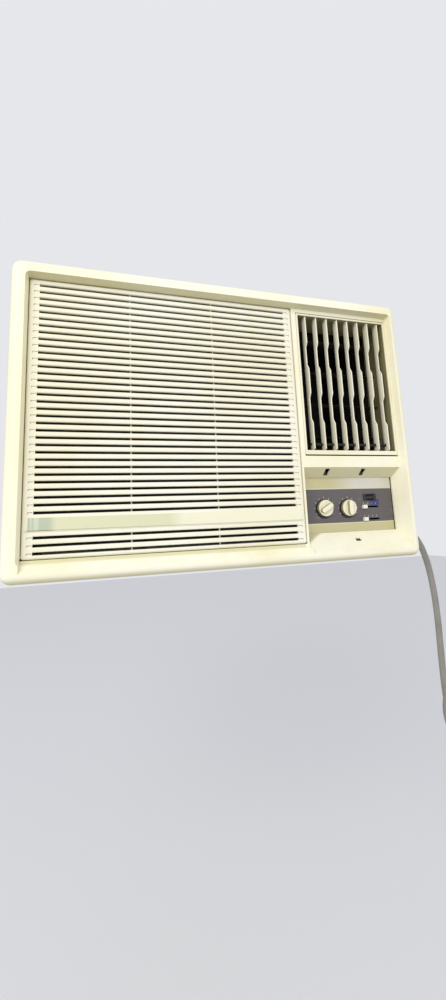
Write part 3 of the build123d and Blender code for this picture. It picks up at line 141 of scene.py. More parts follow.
class Finish:
    def __init__(self, name, **shaderValues):
        self.material = bpy.data.materials.new(name)
        self.material.use_nodes = True
        self.tree = self.material.node_tree
        self.shader = self.tree.nodes["Principled BSDF"]
        self.feed(**shaderValues)

    # settings come first, then the sockets by name or number
    def node(self, kind, settings=None, sockets=None, out=0):
        step = self.tree.nodes.new("ShaderNode" + kind)
        for key, value in (settings or {}).items():
            setattr(step, key, value)
        for key, value in (sockets or {}).items():
            plug(self.tree, step.inputs[key], value)
        return Wire(self.tree, step.outputs[out])

    def feed(self, **values):
        for name, value in values.items():
            plug(self.tree, self.shader.inputs[spaced(name)], value)

    def place(self):
        return self.node("TexCoord", out="Object")

    def axes(self):
        split = self.node("SeparateXYZ", sockets={0: self.place()})
        return [Wire(self.tree, socket) for socket in split.socket.node.outputs]

    def noise(self, scale, detail, stretch=None, rough=0.55):
        place = self.place()
        if stretch:
            place = self.node("Mapping", sockets={"Vector": place, "Scale": stretch})
        return self.node("TexNoise", sockets={"Vector": place, "Scale": scale, "Detail": detail, "Roughness": rough})

    # sockets 6 and 7 hold the two colours
    def mix(self, factor, first, second):
        return self.node("Mix", {"data_type": "RGBA"}, {0: factor, 6: first, 7: second}, out=2)

    def steps(self, value, low, high):
        return self.node("MapRange", {"interpolation_type": "SMOOTHSTEP"},
                         {0: value, 1: low, 2: high, 3: 0.0, 4: 1.0})

    def bump(self, height, distance, strength):
        self.feed(normal=self.node("Bump", sockets={"Height": height, "Distance": distance, "Strength": strength}))

    # how far a face points along one axis, -1 to 1
    def facing(self, axis):
        normal = self.node("TexCoord", out="Normal")
        return self.node("SeparateXYZ", sockets={0: normal}, out=axis)


def spaced(name):
    words = "".join(" " + letter if letter.isupper() else letter for letter in name)
    known = {"ior": "IOR"}
    return known.get(words, words.title())


# A made piece with its finish on its body, hiding the nodes it replaces
def keep(mesh, name, finish, body, replaced=()):
    piece = bpy.data.objects.new(name, mesh)
    bpy.context.scene.collection.objects.link(piece)
    mesh.materials.clear()
    mesh.materials.append(finish.material)
    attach(piece, body)
    if replaced:
        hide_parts(*replaced)
    return piece


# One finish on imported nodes
def dress(finish, *names):
    for name in names:
        mesh = nodes[name].data
        mesh.materials.clear()
        mesh.materials.append(finish.material)


# 0 to 255 display tones to the shader's linear colour
def tone(red, green, blue):
    linear = []
    for value in (red / 255, green / 255, blue / 255):
        linear.append(value / 12.92 if value <= 0.04045 else ((value + 0.055) / 1.055) ** 2.4)
    return (*linear, 1.0)


# Moulded plastic: uneven yellowing, dust on what faces up, painted shade that deepens inside slots and louvres, faint
# sprayed grain, and on the panel painted shade on faces that point down, a painted shadow on the sill, a painted
# shadow in the pocket corner and a painted shade line in the louvre's seam; on the knobs painted shade on their sides
plasticLooks = {
    "panel": {"fresh": tone(247, 244, 222), "aged": tone(241, 234, 196), "dust": tone(186, 176, 144), "settle": 0.18,
              "rough": 0.34, "under": tone(178, 170, 116), "wallFront": -0.3600,
              "sill": tone(204, 198, 136), "sillFrom": -0.3625, "sillTo": -0.3592, "sillRight": 0.112,
              "sillLow": 0.009, "sillHigh": 0.0172,
              "shade": tone(192, 188, 148), "pocketX": 0.1255, "pocketZ": 0.0310, "pocketLeft": 0.1205,
              "pocketHigh": 0.0330, "shadeFrom": 0.018, "shadeTo": 0.030, "shadeLean": 2.0,
              "seamShade": tone(138, 131, 84), "seamHalf": 0.0008},
    "grille": {"fresh": tone(243, 240, 222), "aged": tone(236, 230, 200), "dust": tone(190, 182, 156), "settle": 0.40,
               "rough": 0.36, "soot": tone(58, 50, 36), "sootFrom": -0.3568, "sootTo": -0.3525},
    "frame": {"fresh": tone(243, 239, 214), "aged": tone(234, 226, 188), "dust": tone(150, 142, 116), "settle": 0.40,
              "rough": 0.40, "soot": tone(110, 103, 64), "sootFrom": -0.3588, "sootTo": -0.3560},
    "blade": {"fresh": tone(247, 243, 220), "aged": tone(238, 231, 200), "dust": tone(140, 132, 108), "settle": 0.55,
              "rough": 0.42, "soot": tone(24, 21, 15), "sootFrom": -0.3530, "sootTo": -0.3360},
    "knob": {"fresh": tone(242, 236, 208), "aged": tone(226, 214, 172), "dust": tone(160, 150, 118), "settle": 0.40,
             "rough": 0.32, "side": tone(112, 102, 62)},
    "lever": {"fresh": tone(244, 242, 230), "aged": tone(228, 222, 200), "dust": tone(160, 152, 130), "settle": 0.40,
              "rough": 0.34},
}


def mouldedPlastic(name, look):
    finish = Finish(name, ior=1.5)
    clouds = finish.steps(finish.noise(5.0, 3.0), 0.38, 0.68)
    streaks = finish.steps(finish.noise(9.0, 5.0, stretch=(6.0, 6.0, 0.7)), 0.52, 0.74)
    specks = finish.steps(finish.noise(420.0, 2.0), 0.70, 0.80)
    settled = finish.steps(finish.facing(2), 0.35, 0.95) * finish.steps(finish.noise(38.0, 6.0), 0.30, 0.72)
    colour = finish.mix(clouds * 0.75, look["fresh"], look["aged"])
    colour = finish.mix(streaks * 0.30, colour, look["aged"])
    colour = finish.mix(settled * look["settle"] + specks * 0.18, colour, look["dust"])
    if "soot" in look:
        # painted shade: darker the deeper a face lies, inside the grille's slots and the louvre
        depth = finish.axes()[1]
        colour = finish.mix(finish.steps(depth, look["sootFrom"], look["sootTo"]) * 0.92, colour, look["soot"])
    if "under" in look:
        # painted shade: faces that point down turn olive-dark
        colour = finish.mix(finish.steps(finish.facing(2), -0.2, -0.9) * 0.65, colour, look["under"])
    if "sill" in look:
        x, y, z = finish.axes()
        inside = y > look["wallFront"]
        # painted shadow cast by the grille's bottom edge on the sill below it
        sill = finish.steps(y, look["sillFrom"], look["sillTo"]) * (x < look["sillRight"])
        sill = sill * (z > look["sillLow"]) * (z < look["sillHigh"])
        colour = finish.mix(sill * 0.6, colour, look["sill"])
        # painted shadow of the grille's edge across the pocket's lower-left corner
        lean = (x - look["pocketX"]) + (look["pocketZ"] - z) * look["shadeLean"]
        shade = finish.steps(lean, look["shadeTo"], look["shadeFrom"])
        shade = shade * (x > look["pocketLeft"]) * (z < look["pocketHigh"]) * inside
        colour = finish.mix(shade * 0.95, colour, look["shade"])
        # painted shade line in the gap just above the louvre frame's top edge
        low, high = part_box("louvre_frame")
        seam = (abs(z - high.z - look["seamHalf"]) < look["seamHalf"]) * (x > low.x) * (x < high.x) * inside
        colour = finish.mix(seam * 0.8, colour, look["seamShade"])
    if "side" in look:
        # painted shade: faces turned sideways, the sides of grip and disc, darker
        colour = finish.mix(finish.steps(abs(finish.facing(1)), 0.75, 0.25) * 0.75, colour, look["side"])
    grain = finish.noise(900.0, 2.0)
    finish.feed(baseColor=colour, roughness=settled * 0.30 + grain * 0.10 + look["rough"])
    finish.bump(grain, 0.0002, 0.22)
    return finish


plastics = {key: mouldedPlastic(key + "Plastic", look) for key, look in plasticLooks.items()}


# Foils: the bare strip under the slats and the printed control plate
# the streaks mark where painted highlights lie on the silver
stripLook = {
    "silverFrom": -0.2935, "silverTo": -0.2700, "fade": 0.014, "streaks": [(-0.2895, 0.0010), (-0.2830, 0.0030)],
    "edgeShadowTall": 0.0011, "silver": tone(196, 208, 182), "cream": tone(243, 240, 213), "paintedHighlight": tone(224, 230, 208),
    "edge": tone(198, 190, 150), "line": tone(138, 146, 118),
    "tint": tone(222, 222, 186), "tintTo": -0.1080, "tintFade": 0.030,
}


def stripFoil(look):
    finish = Finish("stripFoil")
    x, y, z = finish.axes()
    silver = 1.0 - finish.steps(x, look["silverTo"], look["silverTo"] + look["fade"])
    silver = silver * (x > look["silverFrom"])
    brushed = finish.noise(60.0, 3.0, stretch=(0.4, 1.0, 30.0))
    worn = finish.steps(finish.noise(45.0, 6.0), 0.58, 0.72)
    silverWithHighlights = look["silver"]
    # painted highlights: bright vertical streaks across the silver part
    for middle, half in look["streaks"]:
        silverWithHighlights = finish.mix(finish.steps(abs(x - middle), half * 1.6, half * 0.4) * 0.8, silverWithHighlights, look["paintedHighlight"])
    tinted = (1.0 - finish.steps(x, look["tintTo"], look["tintTo"] + look["tintFade"])) * (x > look["silverFrom"])
    colour = finish.mix(silver, finish.mix(tinted, look["cream"], look["tint"]), silverWithHighlights)
    colour = finish.mix(brushed * 0.25 + worn * 0.20, colour, look["edge"])
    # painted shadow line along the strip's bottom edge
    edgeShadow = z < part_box("name_strip")[0].z + look["edgeShadowTall"]
    colour = finish.mix(edgeShadow * (silver * 0.5 + 0.45), colour, look["line"])
    finish.feed(baseColor=colour, metallic=silver * 0.55, roughness=brushed * 0.16 + 0.26)
    finish.bump(brushed, 0.0002, 0.10)
    return finish


plateLook = {
    "goldTop": 0.0220, "goldFoot": 0.0180, "line": 0.0008,
    "gold": tone(200, 192, 146), "worn": tone(214, 210, 198), "wornFrom": 0.170, "wornTo": 0.235,
    "dark": tone(76, 70, 79), "pale": tone(216, 210, 176),
    "patchMiddle": (0.2630, 0.0800), "patchHalf": (0.0095, 0.0050), "patch": tone(56, 60, 112),
    "knobShadowShift": 0.0015, "dish": 0.0160, "edgeWide": 0.0050, "shade": tone(34, 31, 32),
}


def plateFoil(look):
    finish = Finish("plateFoil")
    x, y, z = finish.axes()
    low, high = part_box("control_plate")
    bandTop = high.z - look["goldTop"]
    bandFoot = low.z + look["goldFoot"]
    golden = (z > bandTop) + (z < bandFoot)
    rule = (abs(z - bandTop) < look["line"]) + (abs(z - bandFoot) < look["line"])
    brushed = finish.noise(80.0, 3.0, stretch=(0.5, 1.0, 26.0))
    worn = finish.steps(finish.noise(60.0, 6.0), 0.60, 0.72)
    rubbed = finish.steps(x, look["wornFrom"], look["wornTo"]) * (z > bandTop)
    colour = finish.mix(golden, look["dark"], finish.mix(rubbed, look["gold"], look["worn"]))
    colour = finish.mix(rule, colour, look["pale"])
    colour = finish.mix(brushed * 0.14 + worn * 0.10, colour, look["pale"])
    patchX, patchZ = look["patchMiddle"]
    halfX, halfZ = look["patchHalf"]
    patch = (abs(x - patchX) < halfX) * (abs(z - patchZ) < halfZ)
    colour = finish.mix(patch, colour, look["patch"])
    # painted shade: a strip along the plate's right edge, and the knobs' shadows as discs shifted down and to the
    # left
    shaded = x > high.x - look["edgeWide"]
    for knob in knobNodes:
        middle = middleOf(knob)
        across = x - (middle.x - look["knobShadowShift"])
        upward = z - (middle.z - look["knobShadowShift"])
        shaded = shaded + (across * across + upward * upward < look["dish"] ** 2)
    colour = finish.mix(shaded, colour, look["shade"])
    finish.feed(baseColor=colour, metallic=golden * 0.40 + 0.10, roughness=brushed * 0.16 + 0.30)
    finish.bump(brushed, 0.0002, 0.08)
    return finish


foilOfStrip = stripFoil(stripLook)
foilOfPlate = plateFoil(plateLook)


# Sheet metal, castings, copper and rubber share one maker with their own looks
metalLooks = {
    "sleeve": {"base": tone(214, 207, 178), "mark": tone(196, 186, 152), "metal": 0.0, "rough": 0.42, "scale": 26.0,
               "bump": 0.12},
    "zinc": {"base": tone(196, 199, 200), "mark": tone(150, 154, 156), "metal": 0.85, "rough": 0.40, "scale": 70.0,
             "bump": 0.10},
    "fin": {"base": tone(206, 208, 210), "mark": tone(178, 180, 178), "metal": 0.90, "rough": 0.34, "scale": 40.0,
            "bump": 0.06},
    "copper": {"base": tone(201, 128, 92), "mark": tone(112, 74, 56), "metal": 0.95, "rough": 0.30, "scale": 60.0,
               "bump": 0.08},
    "motor": {"base": tone(92, 96, 98), "mark": tone(58, 60, 62), "metal": 0.25, "rough": 0.46, "scale": 50.0,
              "bump": 0.14},
    "compressor": {"base": tone(34, 34, 36), "mark": tone(70, 64, 58), "metal": 0.10, "rough": 0.34, "scale": 34.0,
                   "bump": 0.10},
    "shaft": {"base": tone(186, 188, 190), "mark": tone(120, 120, 118), "metal": 1.0, "rough": 0.24, "scale": 90.0,
              "bump": 0.05},
    "can": {"base": tone(206, 206, 204), "mark": tone(150, 150, 146), "metal": 0.90, "rough": 0.28, "scale": 80.0,
            "bump": 0.05},
    "brass": {"base": tone(206, 184, 120), "mark": tone(140, 118, 70), "metal": 0.95, "rough": 0.24, "scale": 120.0,
              "bump": 0.05},
    "duct": {"base": tone(22, 22, 21), "mark": tone(38, 36, 32), "metal": 0.0, "rough": 0.66, "scale": 40.0,
             "bump": 0.25, "settle": 0.06},
    "fan": {"base": tone(48, 48, 50), "mark": tone(88, 86, 80), "metal": 0.0, "rough": 0.52, "scale": 60.0,
            "bump": 0.20},
    "black": {"base": tone(30, 30, 32), "mark": tone(66, 64, 62), "metal": 0.0, "rough": 0.36, "scale": 150.0,
              "bump": 0.12},
    "rubber": {"base": tone(34, 34, 34), "mark": tone(66, 64, 60), "metal": 0.0, "rough": 0.72, "scale": 160.0,
               "bump": 0.30},
    "cord": {"base": tone(142, 140, 131), "mark": tone(104, 102, 94), "metal": 0.0, "rough": 0.56, "scale": 90.0,
             "bump": 0.22},
}
metalLooks["bulkhead"] = {**metalLooks["zinc"], "lining": tone(24, 24, 23)}
coatDust = tone(168, 162, 146)


def coated(name, look):
    finish = Finish(name)
    blotch = finish.steps(finish.noise(look["scale"] * 0.25, 5.0), 0.42, 0.72)
    fine = finish.noise(look["scale"] * 8.0, 3.0)
    dust = finish.steps(finish.facing(2), 0.5, 1.0) * finish.steps(finish.noise(look["scale"], 6.0), 0.35, 0.75)
    colour = finish.mix(blotch * 0.45, look["base"], look["mark"])
    colour = finish.mix(dust * look.get("settle", 0.35), colour, coatDust)
    metal = look["metal"]
    if "lining" in look:
        lined = finish.steps(finish.facing(1), 0.3, -0.3)
        colour = finish.mix(lined, colour, look["lining"])
        metal = (1.0 - lined) * metal
    finish.feed(baseColor=colour, metallic=metal, roughness=fine * 0.14 + dust * 0.25 + look["rough"] - 0.05)
    finish.bump(fine, 0.0004, look["bump"])
    return finish


metals = {key: coated(key + "Coat", look) for key, look in metalLooks.items()}


# Filter cloth in its frame: two sets of fine threads
filterLook = {"thread": 0.0016, "dark": tone(22, 27, 24), "pale": tone(74, 80, 72), "lint": tone(112, 108, 96)}


def filterCloth(look):
    finish = Finish("filterCloth", roughness=0.8)
    x, y, z = finish.axes()
    along = (x * (2 * math.pi / look["thread"])).math("SINE")
    across = (z * (2 * math.pi / look["thread"])).math("SINE")
    weave = along * across
    lint = finish.steps(finish.noise(30.0, 6.0), 0.45, 0.75)
    colour = finish.mix(finish.steps(weave, -0.2, 0.6), look["dark"], look["pale"])
    colour = finish.mix(lint * 0.4, colour, look["lint"])
    finish.feed(baseColor=colour)
    finish.bump(weave, 0.0003, 0.4)
    return finish


filterWeave = filterCloth(filterLook)


dress(plastics["panel"], "front_panel")
dress(plastics["grille"], "intake_grille")
dress(plastics["frame"], "louvre_frame")
dress(plastics["blade"], *[f"louvre_blade_{n}" for n in range(1, 9)])
dress(plastics["knob"], *knobNodes)
dress(plastics["lever"], *leverNodes)
dress(foilOfStrip, "name_strip")
dress(foilOfPlate, "control_plate")
dress(filterWeave, "air_filter")
dress(metals["sleeve"], "outer_cabinet")
dress(metals["bulkhead"], "bulkhead", "vent_door")
dress(metals["zinc"], "base_pan", "motor_bracket", "fan_shroud", "control_box")
dress(metals["fin"], "evaporator_coil", "condenser_coil")
dress(metals["copper"], "evaporator_bends", "condenser_bends", "filter_drier", "suction_line", "liquid_line",
      "discharge_line")
dress(metals["motor"], "fan_motor")
dress(metals["compressor"], "compressor", "accumulator")
dress(metals["shaft"], "fan_shaft")
dress(metals["can"], "run_capacitor")
dress(metals["brass"], "plug_pins")
dress(metals["duct"], "blower_scroll", "inlet_ring", "discharge_duct", "blower_wheel", "blade_link", "vane_link",
      *[f"level_vane_{n}" for n in range(1, 5)])
dress(metals["fan"], "condenser_fan")
dress(metals["black"], "selector_switch", "thermostat", "switch_housing", "rocker")
dress(metals["rubber"], "compressor_mounts")
dress(metals["cord"], "cord_gland", "power_cord", "cord_coil", "cord_tie", "plug_body")
print("finishes on", len(nodes), "nodes")


# Smooth faces with sharp edges kept
sharpAngle = math.radians(40)


def smoothed(mesh):
    for face in mesh.polygons:
        face.use_smooth = True
    mesh.set_sharp_from_angle(angle=sharpAngle)
    return mesh


def meshOf(name, shape):
    mesh = bpy.data.meshes.new(name)
    shape.to_mesh(mesh)
    shape.free()
    return smoothed(mesh)


# Rings of points joined into one closed shell
def shell(name, rings):
    shape = bmesh.new()
    rows = [[shape.verts.new(point) for point in ring] for ring in rings]
    for lower, upper in zip(rows, rows[1:]):
        for step in range(len(lower)):
            after = (step + 1) % len(lower)
            shape.faces.new((lower[step], lower[after], upper[after], upper[step]))
    shape.faces.new(list(reversed(rows[0])))
    shape.faces.new(rows[-1])
    bmesh.ops.recalc_face_normals(shape, faces=shape.faces)
    return meshOf(name, shape)


# an oval in the plane of two directions, squarer as its power grows
def ovalRing(middle, across, along, halfAcross, halfAlong, power=2.0, count=40):
    ring = []
    for step in range(count):
        turn = 2 * math.pi * step / count
        reach = [math.copysign(abs(part) ** (2 / power), part) for part in (math.cos(turn), math.sin(turn))]
        ring.append(middle + across * (halfAcross * reach[0]) + along * (halfAlong * reach[1]))
    return ring


# Supply cord: the hanging route through listed points, then the put-away length in a flat coil; only its length is in
# metres
cordSizes = {
    "diameter": 11.0, "length": 1.58,
    "route": [
        (347.4, -313.0, 30.8), (368.2, -313.0, 11.0), (383.2, -313.0, -29.0), (391.2, -312.0, -78.0),
        (394.7, -310.0, -133.0), (397.0, -305.0, -188.0), (402.2, -298.0, -240.0), (403.6, -298.0, -289.0),
    ],
    "coilRadius": 66.0, "pitch": 11.85, "layer": 11.85, "turnsIn": 1.5, "turnsUp": 0.5, "pointsPerTurn": 20,
}
cordRoute = [Vector(point) * mm for point in cordSizes["route"]]
leadIn = (cordRoute[-1] - cordRoute[-2]).normalized()
cordDiameter = cordSizes["diameter"] * mm
coilStart = cordRoute[-1] + leadIn * cordDiameter
coilCentre = coilStart + Vector((cordSizes["coilRadius"] * mm, 0, 0))
coilTurns = 2 * cordSizes["turnsIn"] + cordSizes["turnsUp"]
plugHeading = Vector((cordSizes["pitch"], 0, 2 * math.pi * cordSizes["coilRadius"])).normalized()
coilEnd = coilCentre + Vector((cordSizes["coilRadius"] * mm, cordSizes["layer"] * mm, 0))
plugSeat = coilEnd + plugHeading * cordDiameter


def coilPoint(sizes, turn, spread):
    climb = min(max((turn - sizes["turnsIn"]) / sizes["turnsUp"], 0), 1)
    inward = min(turn, sizes["turnsIn"], coilTurns - turn) + sizes["turnsUp"] * climb * (1 - climb)
    radius = (sizes["coilRadius"] - sizes["pitch"] * inward) * spread * mm
    angle = math.pi + 2 * math.pi * turn
    lift = sizes["layer"] * climb * climb * (3 - 2 * climb) * mm
    return coilCentre + Vector((radius * math.cos(angle), lift, radius * math.sin(angle)))


def makeCord(sizes):
    steps = sizes["pointsPerTurn"]
    spread = 1 / math.cos(math.pi / steps)  # the curve runs inside its points
    winding = [coilPoint(sizes, (step + 0.5) / steps, spread) for step in range(int(coilTurns * steps))]
    points = [*cordRoute, *winding, plugSeat]
    curve = bpy.data.curves.new("supplyCord", "CURVE")
    curve.dimensions = "3D"
    curve.bevel_depth = cordDiameter / 2
    curve.bevel_resolution = 5
    curve.resolution_u = 8
    curve.use_fill_caps = True
    spline = curve.splines.new("NURBS")
    spline.points.add(len(points) - 1)
    for point, place in zip(spline.points, points):
        point.co = (*place, 1)
    spline.order_u = 3
    spline.use_endpoint_u = True
    curve.materials.append(metals["cord"].material)
    cord = bpy.data.objects.new("supplyCord", curve)
    bpy.context.scene.collection.objects.link(cord)
    return cord


# Rings cut round the boot and the plug's neck: rows of points for each ring, and the row that is set in
ringRows = 4
cutRow = 2


# Strain relief: a tapered boot with rings cut round it, on a round flange
bootSizes = {"rootRadius": 10.0, "tipRadius": 6.6, "rings": 5, "groove": 0.9, "flangeRadius": 12.6, "flange": 2.5,
             "flangeEdge": [(0, 1.0), (0.6, 1.0), (1.0, 0.93)]}


def makeBoot(sizes):
    axis = (cordRoute[1] - cordRoute[0]).normalized()
    tip = cordRoute[0]
    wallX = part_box("front_panel")[1].x
    reach = (tip.x - wallX) / axis.x
    root = tip - axis * (reach + sizes["rootRadius"] * mm)
    side = Vector((0, 1, 0))
    over = axis.cross(side)
    rings = []
    count = sizes["rings"] * ringRows
    for step in range(count + 1):
        share = step / count
        radius = sizes["rootRadius"] + (sizes["tipRadius"] - sizes["rootRadius"]) * share
        if step % ringRows == cutRow:
            radius -= sizes["groove"]
        rings.append(ovalRing(root.lerp(tip, share), side, over, radius * mm, radius * mm))
    shape = bmesh.new()
    shape.from_mesh(shell("boot", rings))
    wall = Vector((wallX, 0, 0))
    parts = [*shape.verts, *shape.edges, *shape.faces]
    bmesh.ops.bisect_plane(shape, geom=parts, plane_co=wall, plane_no=Vector((1, 0, 0)), clear_inner=True)
    bmesh.ops.holes_fill(shape, edges=[edge for edge in shape.edges if edge.is_boundary])
    centre = tip - axis * reach
    flat = Vector((0, 0, 1))
    flange = [ovalRing(centre + Vector((sizes["flange"] * mm * rise, 0, 0)), side, flat,
                       sizes["flangeRadius"] * mm * share, sizes["flangeRadius"] * mm * share)
              for rise, share in sizes["flangeEdge"]]
    shape.from_mesh(shell("flange", flange))
    return meshOf("cordBoot", shape)


# Plug: a soft-cornered body that narrows into its neck, with its place, size and squareness along the length
plugSizes = {
    "neck": 7.0, "swell": 1.8, "groove": 0.7, "boot": 20.0, "length": 34.0, "halfThick": 10.9, "halfWide": 14.9,
    "rings": 5,
    "body": [(0.02, 0.70, 2.4), (0.06, 0.84, 3.0), (0.16, 0.95, 3.6), (0.34, 1.0, 4.0), (0.94, 1.0, 4.0),
             (0.985, 0.97, 4.0), (1.0, 0.90, 4.0)],
}


def makePlug(sizes):
    side = Vector((0, 1, 0))
    over = plugHeading.cross(side)
    rings = []
    count = sizes["rings"] * ringRows
    for step in range(count + 1):
        share = step / count
        groove = sizes["groove"] if step % ringRows == cutRow else 0
        radius = (sizes["neck"] + sizes["swell"] * share * share - groove) * mm
        rings.append(ovalRing(plugSeat + plugHeading * (sizes["boot"] * share * mm), side, over, radius, radius))
    for share, size, power in sizes["body"]:
        place = plugSeat + plugHeading * ((sizes["boot"] + sizes["length"] * share) * mm)
        halfThick = sizes["halfThick"] * size * mm
        halfWide = sizes["halfWide"] * size * mm
        rings.append(ovalRing(place, side, over, halfThick, halfWide, power))
    return shell("cordPlug", rings)


cordPiece = makeCord(cordSizes)
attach(cordPiece, "chassis")
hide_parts("power_cord", "cord_coil")
bootPiece = keep(makeBoot(bootSizes), "cordBoot", metals["cord"], "chassis", ["cord_gland"])
plugPiece = keep(makePlug(plugSizes), "cordPlug", metals["cord"], "chassis", ["plug_body"])
print("cord, boot and plug made")


# Geometry Nodes trees, built link by link
class Maker:
    def __init__(self, name, finish, **inputs):
        self.tree = bpy.data.node_groups.new(name, "GeometryNodeTree")
        self.finish = finish
        self.keys = {}
        kinds = {int: "NodeSocketInt", float: "NodeSocketFloat", tuple: "NodeSocketVector"}
        self.tree.interface.new_socket("Geometry", in_out="INPUT", socket_type="NodeSocketGeometry")
        for title, value in inputs.items():
            socket = self.tree.interface.new_socket(title, in_out="INPUT", socket_type=kinds[type(value)])
            socket.default_value = value
            self.keys[title] = socket.identifier
        self.tree.interface.new_socket("Geometry", in_out="OUTPUT", socket_type="NodeSocketGeometry")
        self.entry = self.tree.nodes.new("NodeGroupInput")

    def given(self, title):
        return self.entry.outputs[title]

    def node(self, kind, settings=None, sockets=None, out=0):
        step = self.tree.nodes.new(kind)
        for key, value in (settings or {}).items():
            setattr(step, key, value)
        for key, value in (sockets or {}).items():
            for part in value if isinstance(value, list) else [value]:
                if isinstance(part, bpy.types.NodeSocket):
                    self.tree.links.new(part, step.inputs[key])
                else:
                    step.inputs[key].default_value = part
        return step.outputs[out]

    def block(self, size, place):
        cube = self.node("GeometryNodeMeshCube", sockets={"Size": size})
        return self.node("GeometryNodeTransform", sockets={"Geometry": cube, "Translation": place})

    def row(self, count, first, step):
        return self.node("GeometryNodeMeshLine", sockets={"Count": count, "Start Location": first, "Offset": step})

    def copies(self, points, shape, **more):
        return self.node("GeometryNodeInstanceOnPoints", sockets={"Points": points, "Instance": shape, **more})

    def join(self, *parts):
        return self.node("GeometryNodeJoinGeometry", sockets={0: list(parts)})

    def close(self, result):
        whole = self.node("GeometryNodeRealizeInstances", sockets={0: result})
        dressed = self.node("GeometryNodeSetMaterial", sockets={0: whole, "Material": self.finish.material})
        leave = self.tree.nodes.new("NodeGroupOutput")
        self.tree.links.new(dressed, leave.inputs[0])

    # a plain mesh from one setting of the inputs
    def bake(self, name, base=None, **values):
        carrier = bpy.data.objects.new(name, base or bpy.data.meshes.new(name))
        bpy.context.scene.collection.objects.link(carrier)
        modifier = carrier.modifiers.new("maker", "NODES")
        modifier.node_group = self.tree
        for title, value in values.items():
            modifier[self.keys[title]] = value
        result = carrier.evaluated_get(bpy.context.evaluated_depsgraph_get())
        mesh = bpy.data.meshes.new_from_object(result)
        carrier.modifiers.remove(modifier)
        bpy.data.objects.remove(carrier)
        return smoothed(mesh)


def metres(*values):
    return tuple(value * mm for value in values)


# Fin packs: thin plates in a row on a core between thicker end plates
finSizes = {"pitch": 3.0, "thick": 0.35, "deep": 5.5, "endPlate": 3.0, "setback": 0.6, "seed": 4, "lean": 0.010}


def finTree(finish):
    maker = Maker("finPack", finish, count=100, first=(0.0, 0.0, 0.0), step=(0.003, 0.0, 0.0), fin=(0.0, 0.0, 0.0),
                  core=(0.0, 0.0, 0.0), coreAt=(0.0, 0.0, 0.0), plate=(0.0, 0.0, 0.0), plateAt=(0.0, 0.0, 0.0),
                  plateStep=(0.0, 0.0, 0.0), lean=0.0, seed=0)
    fin = maker.node("GeometryNodeMeshCube", sockets={"Size": maker.given("fin")})
    reach = maker.node("ShaderNodeCombineXYZ", sockets={2: maker.given("lean")})
    back = maker.node("ShaderNodeVectorMath", {"operation": "SCALE"}, {0: reach, "Scale": -1.0})
    turn = maker.node("FunctionNodeRandomValue", {"data_type": "FLOAT_VECTOR"},
                      {0: back, 1: reach, "Seed": maker.given("seed")})
    spin = maker.node("FunctionNodeEulerToRotation", sockets={0: turn})
    row = maker.row(maker.given("count"), maker.given("first"), maker.given("step"))
    fins = maker.copies(row, fin, Rotation=spin)
    core = maker.block(maker.given("core"), maker.given("coreAt"))
    plate = maker.node("GeometryNodeMeshCube", sockets={"Size": maker.given("plate")})
    plates = maker.copies(maker.row(2, maker.given("plateAt"), maker.given("plateStep")), plate)
    maker.close(maker.join(fins, core, plates))
    return maker


finMaker = finTree(metals["fin"])


def finPack(node, seedShift, sizes):
    low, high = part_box(node)
    span = high - low
    middle = middleOf(node)
    pitch = sizes["pitch"] * mm
    plate = sizes["endPlate"] * mm
    count = int((span.x - 2 * plate) / pitch)
    first = middle - Vector((pitch * (count - 1) / 2, 0, 0))
    deep = sizes["deep"] * mm
    fin = Vector((sizes["thick"] * mm, span.y - sizes["setback"] * mm, span.z - plate))
    coreSpan = Vector((span.x - plate, span.y - 2 * deep, span.z - 2 * plate))
    mesh = finMaker.bake(
        node + "Fins", count=count, first=first, step=Vector((pitch, 0, 0)), fin=fin, core=coreSpan, coreAt=middle,
        plate=Vector((plate, span.y, span.z)), plateAt=Vector((low.x + plate / 2, middle.y, middle.z)),
        plateStep=Vector((span.x - plate, 0, 0)), lean=sizes["lean"], seed=sizes["seed"] + seedShift)
    keep(mesh, node + "Fins", metals["fin"], "chassis", [node])


finPack("evaporator_coil", 0, finSizes)
finPack("condenser_coil", 1, finSizes)
print("fin packs made")


# Pan-head screws with a cross cut, on the sleeve where it meets the panel and the pan
screwSizes = {"radius": 4.2, "height": 2.0, "cut": 1.1, "cutDeep": 1.0, "fromFront": 28.0, "fromBack": 14.0,
              "taper": 0.72, "cutShare": 1.3, "sides": 24, "sideRows": [70.0, 215.0, 360.0],
              "topRows": [-210.0, 210.0]}


def screwTree(finish, sizes):
    maker = Maker("screwHeads", finish, radius=0.004, height=0.002, cut=0.001, cutDeep=0.001)
    half = maker.node("ShaderNodeMath", {"operation": "MULTIPLY"}, {0: maker.given("radius"), 1: sizes["taper"]})
    head = maker.node("GeometryNodeMeshCone", sockets={
        "Vertices": sizes["sides"], "Radius Top": half, "Radius Bottom": maker.given("radius"),
        "Depth": maker.given("height")})
    long = maker.node("ShaderNodeMath", {"operation": "MULTIPLY"}, {0: maker.given("radius"), 1: sizes["cutShare"]})
    wide = maker.node("ShaderNodeCombineXYZ", sockets={0: long, 1: maker.given("cut"), 2: maker.given("cutDeep")})
    tall = maker.node("ShaderNodeCombineXYZ", sockets={0: maker.given("cut"), 1: long, 2: maker.given("cutDeep")})
    top = maker.node("ShaderNodeCombineXYZ", sockets={2: maker.given("height")})
    cross = maker.join(maker.block(wide, top), maker.block(tall, top))
    cutHead = maker.node("GeometryNodeMeshBoolean", {"operation": "DIFFERENCE"}, {0: head, 1: cross})
    facing = maker.node("GeometryNodeInputNamedAttribute", {"data_type": "FLOAT_VECTOR"}, {"Name": "facing"})
    turn = maker.node("FunctionNodeAlignRotationToVector", {"axis": "Z"}, {"Vector": facing})
    maker.close(maker.copies(maker.given("Geometry"), cutHead, Rotation=turn))
    return maker


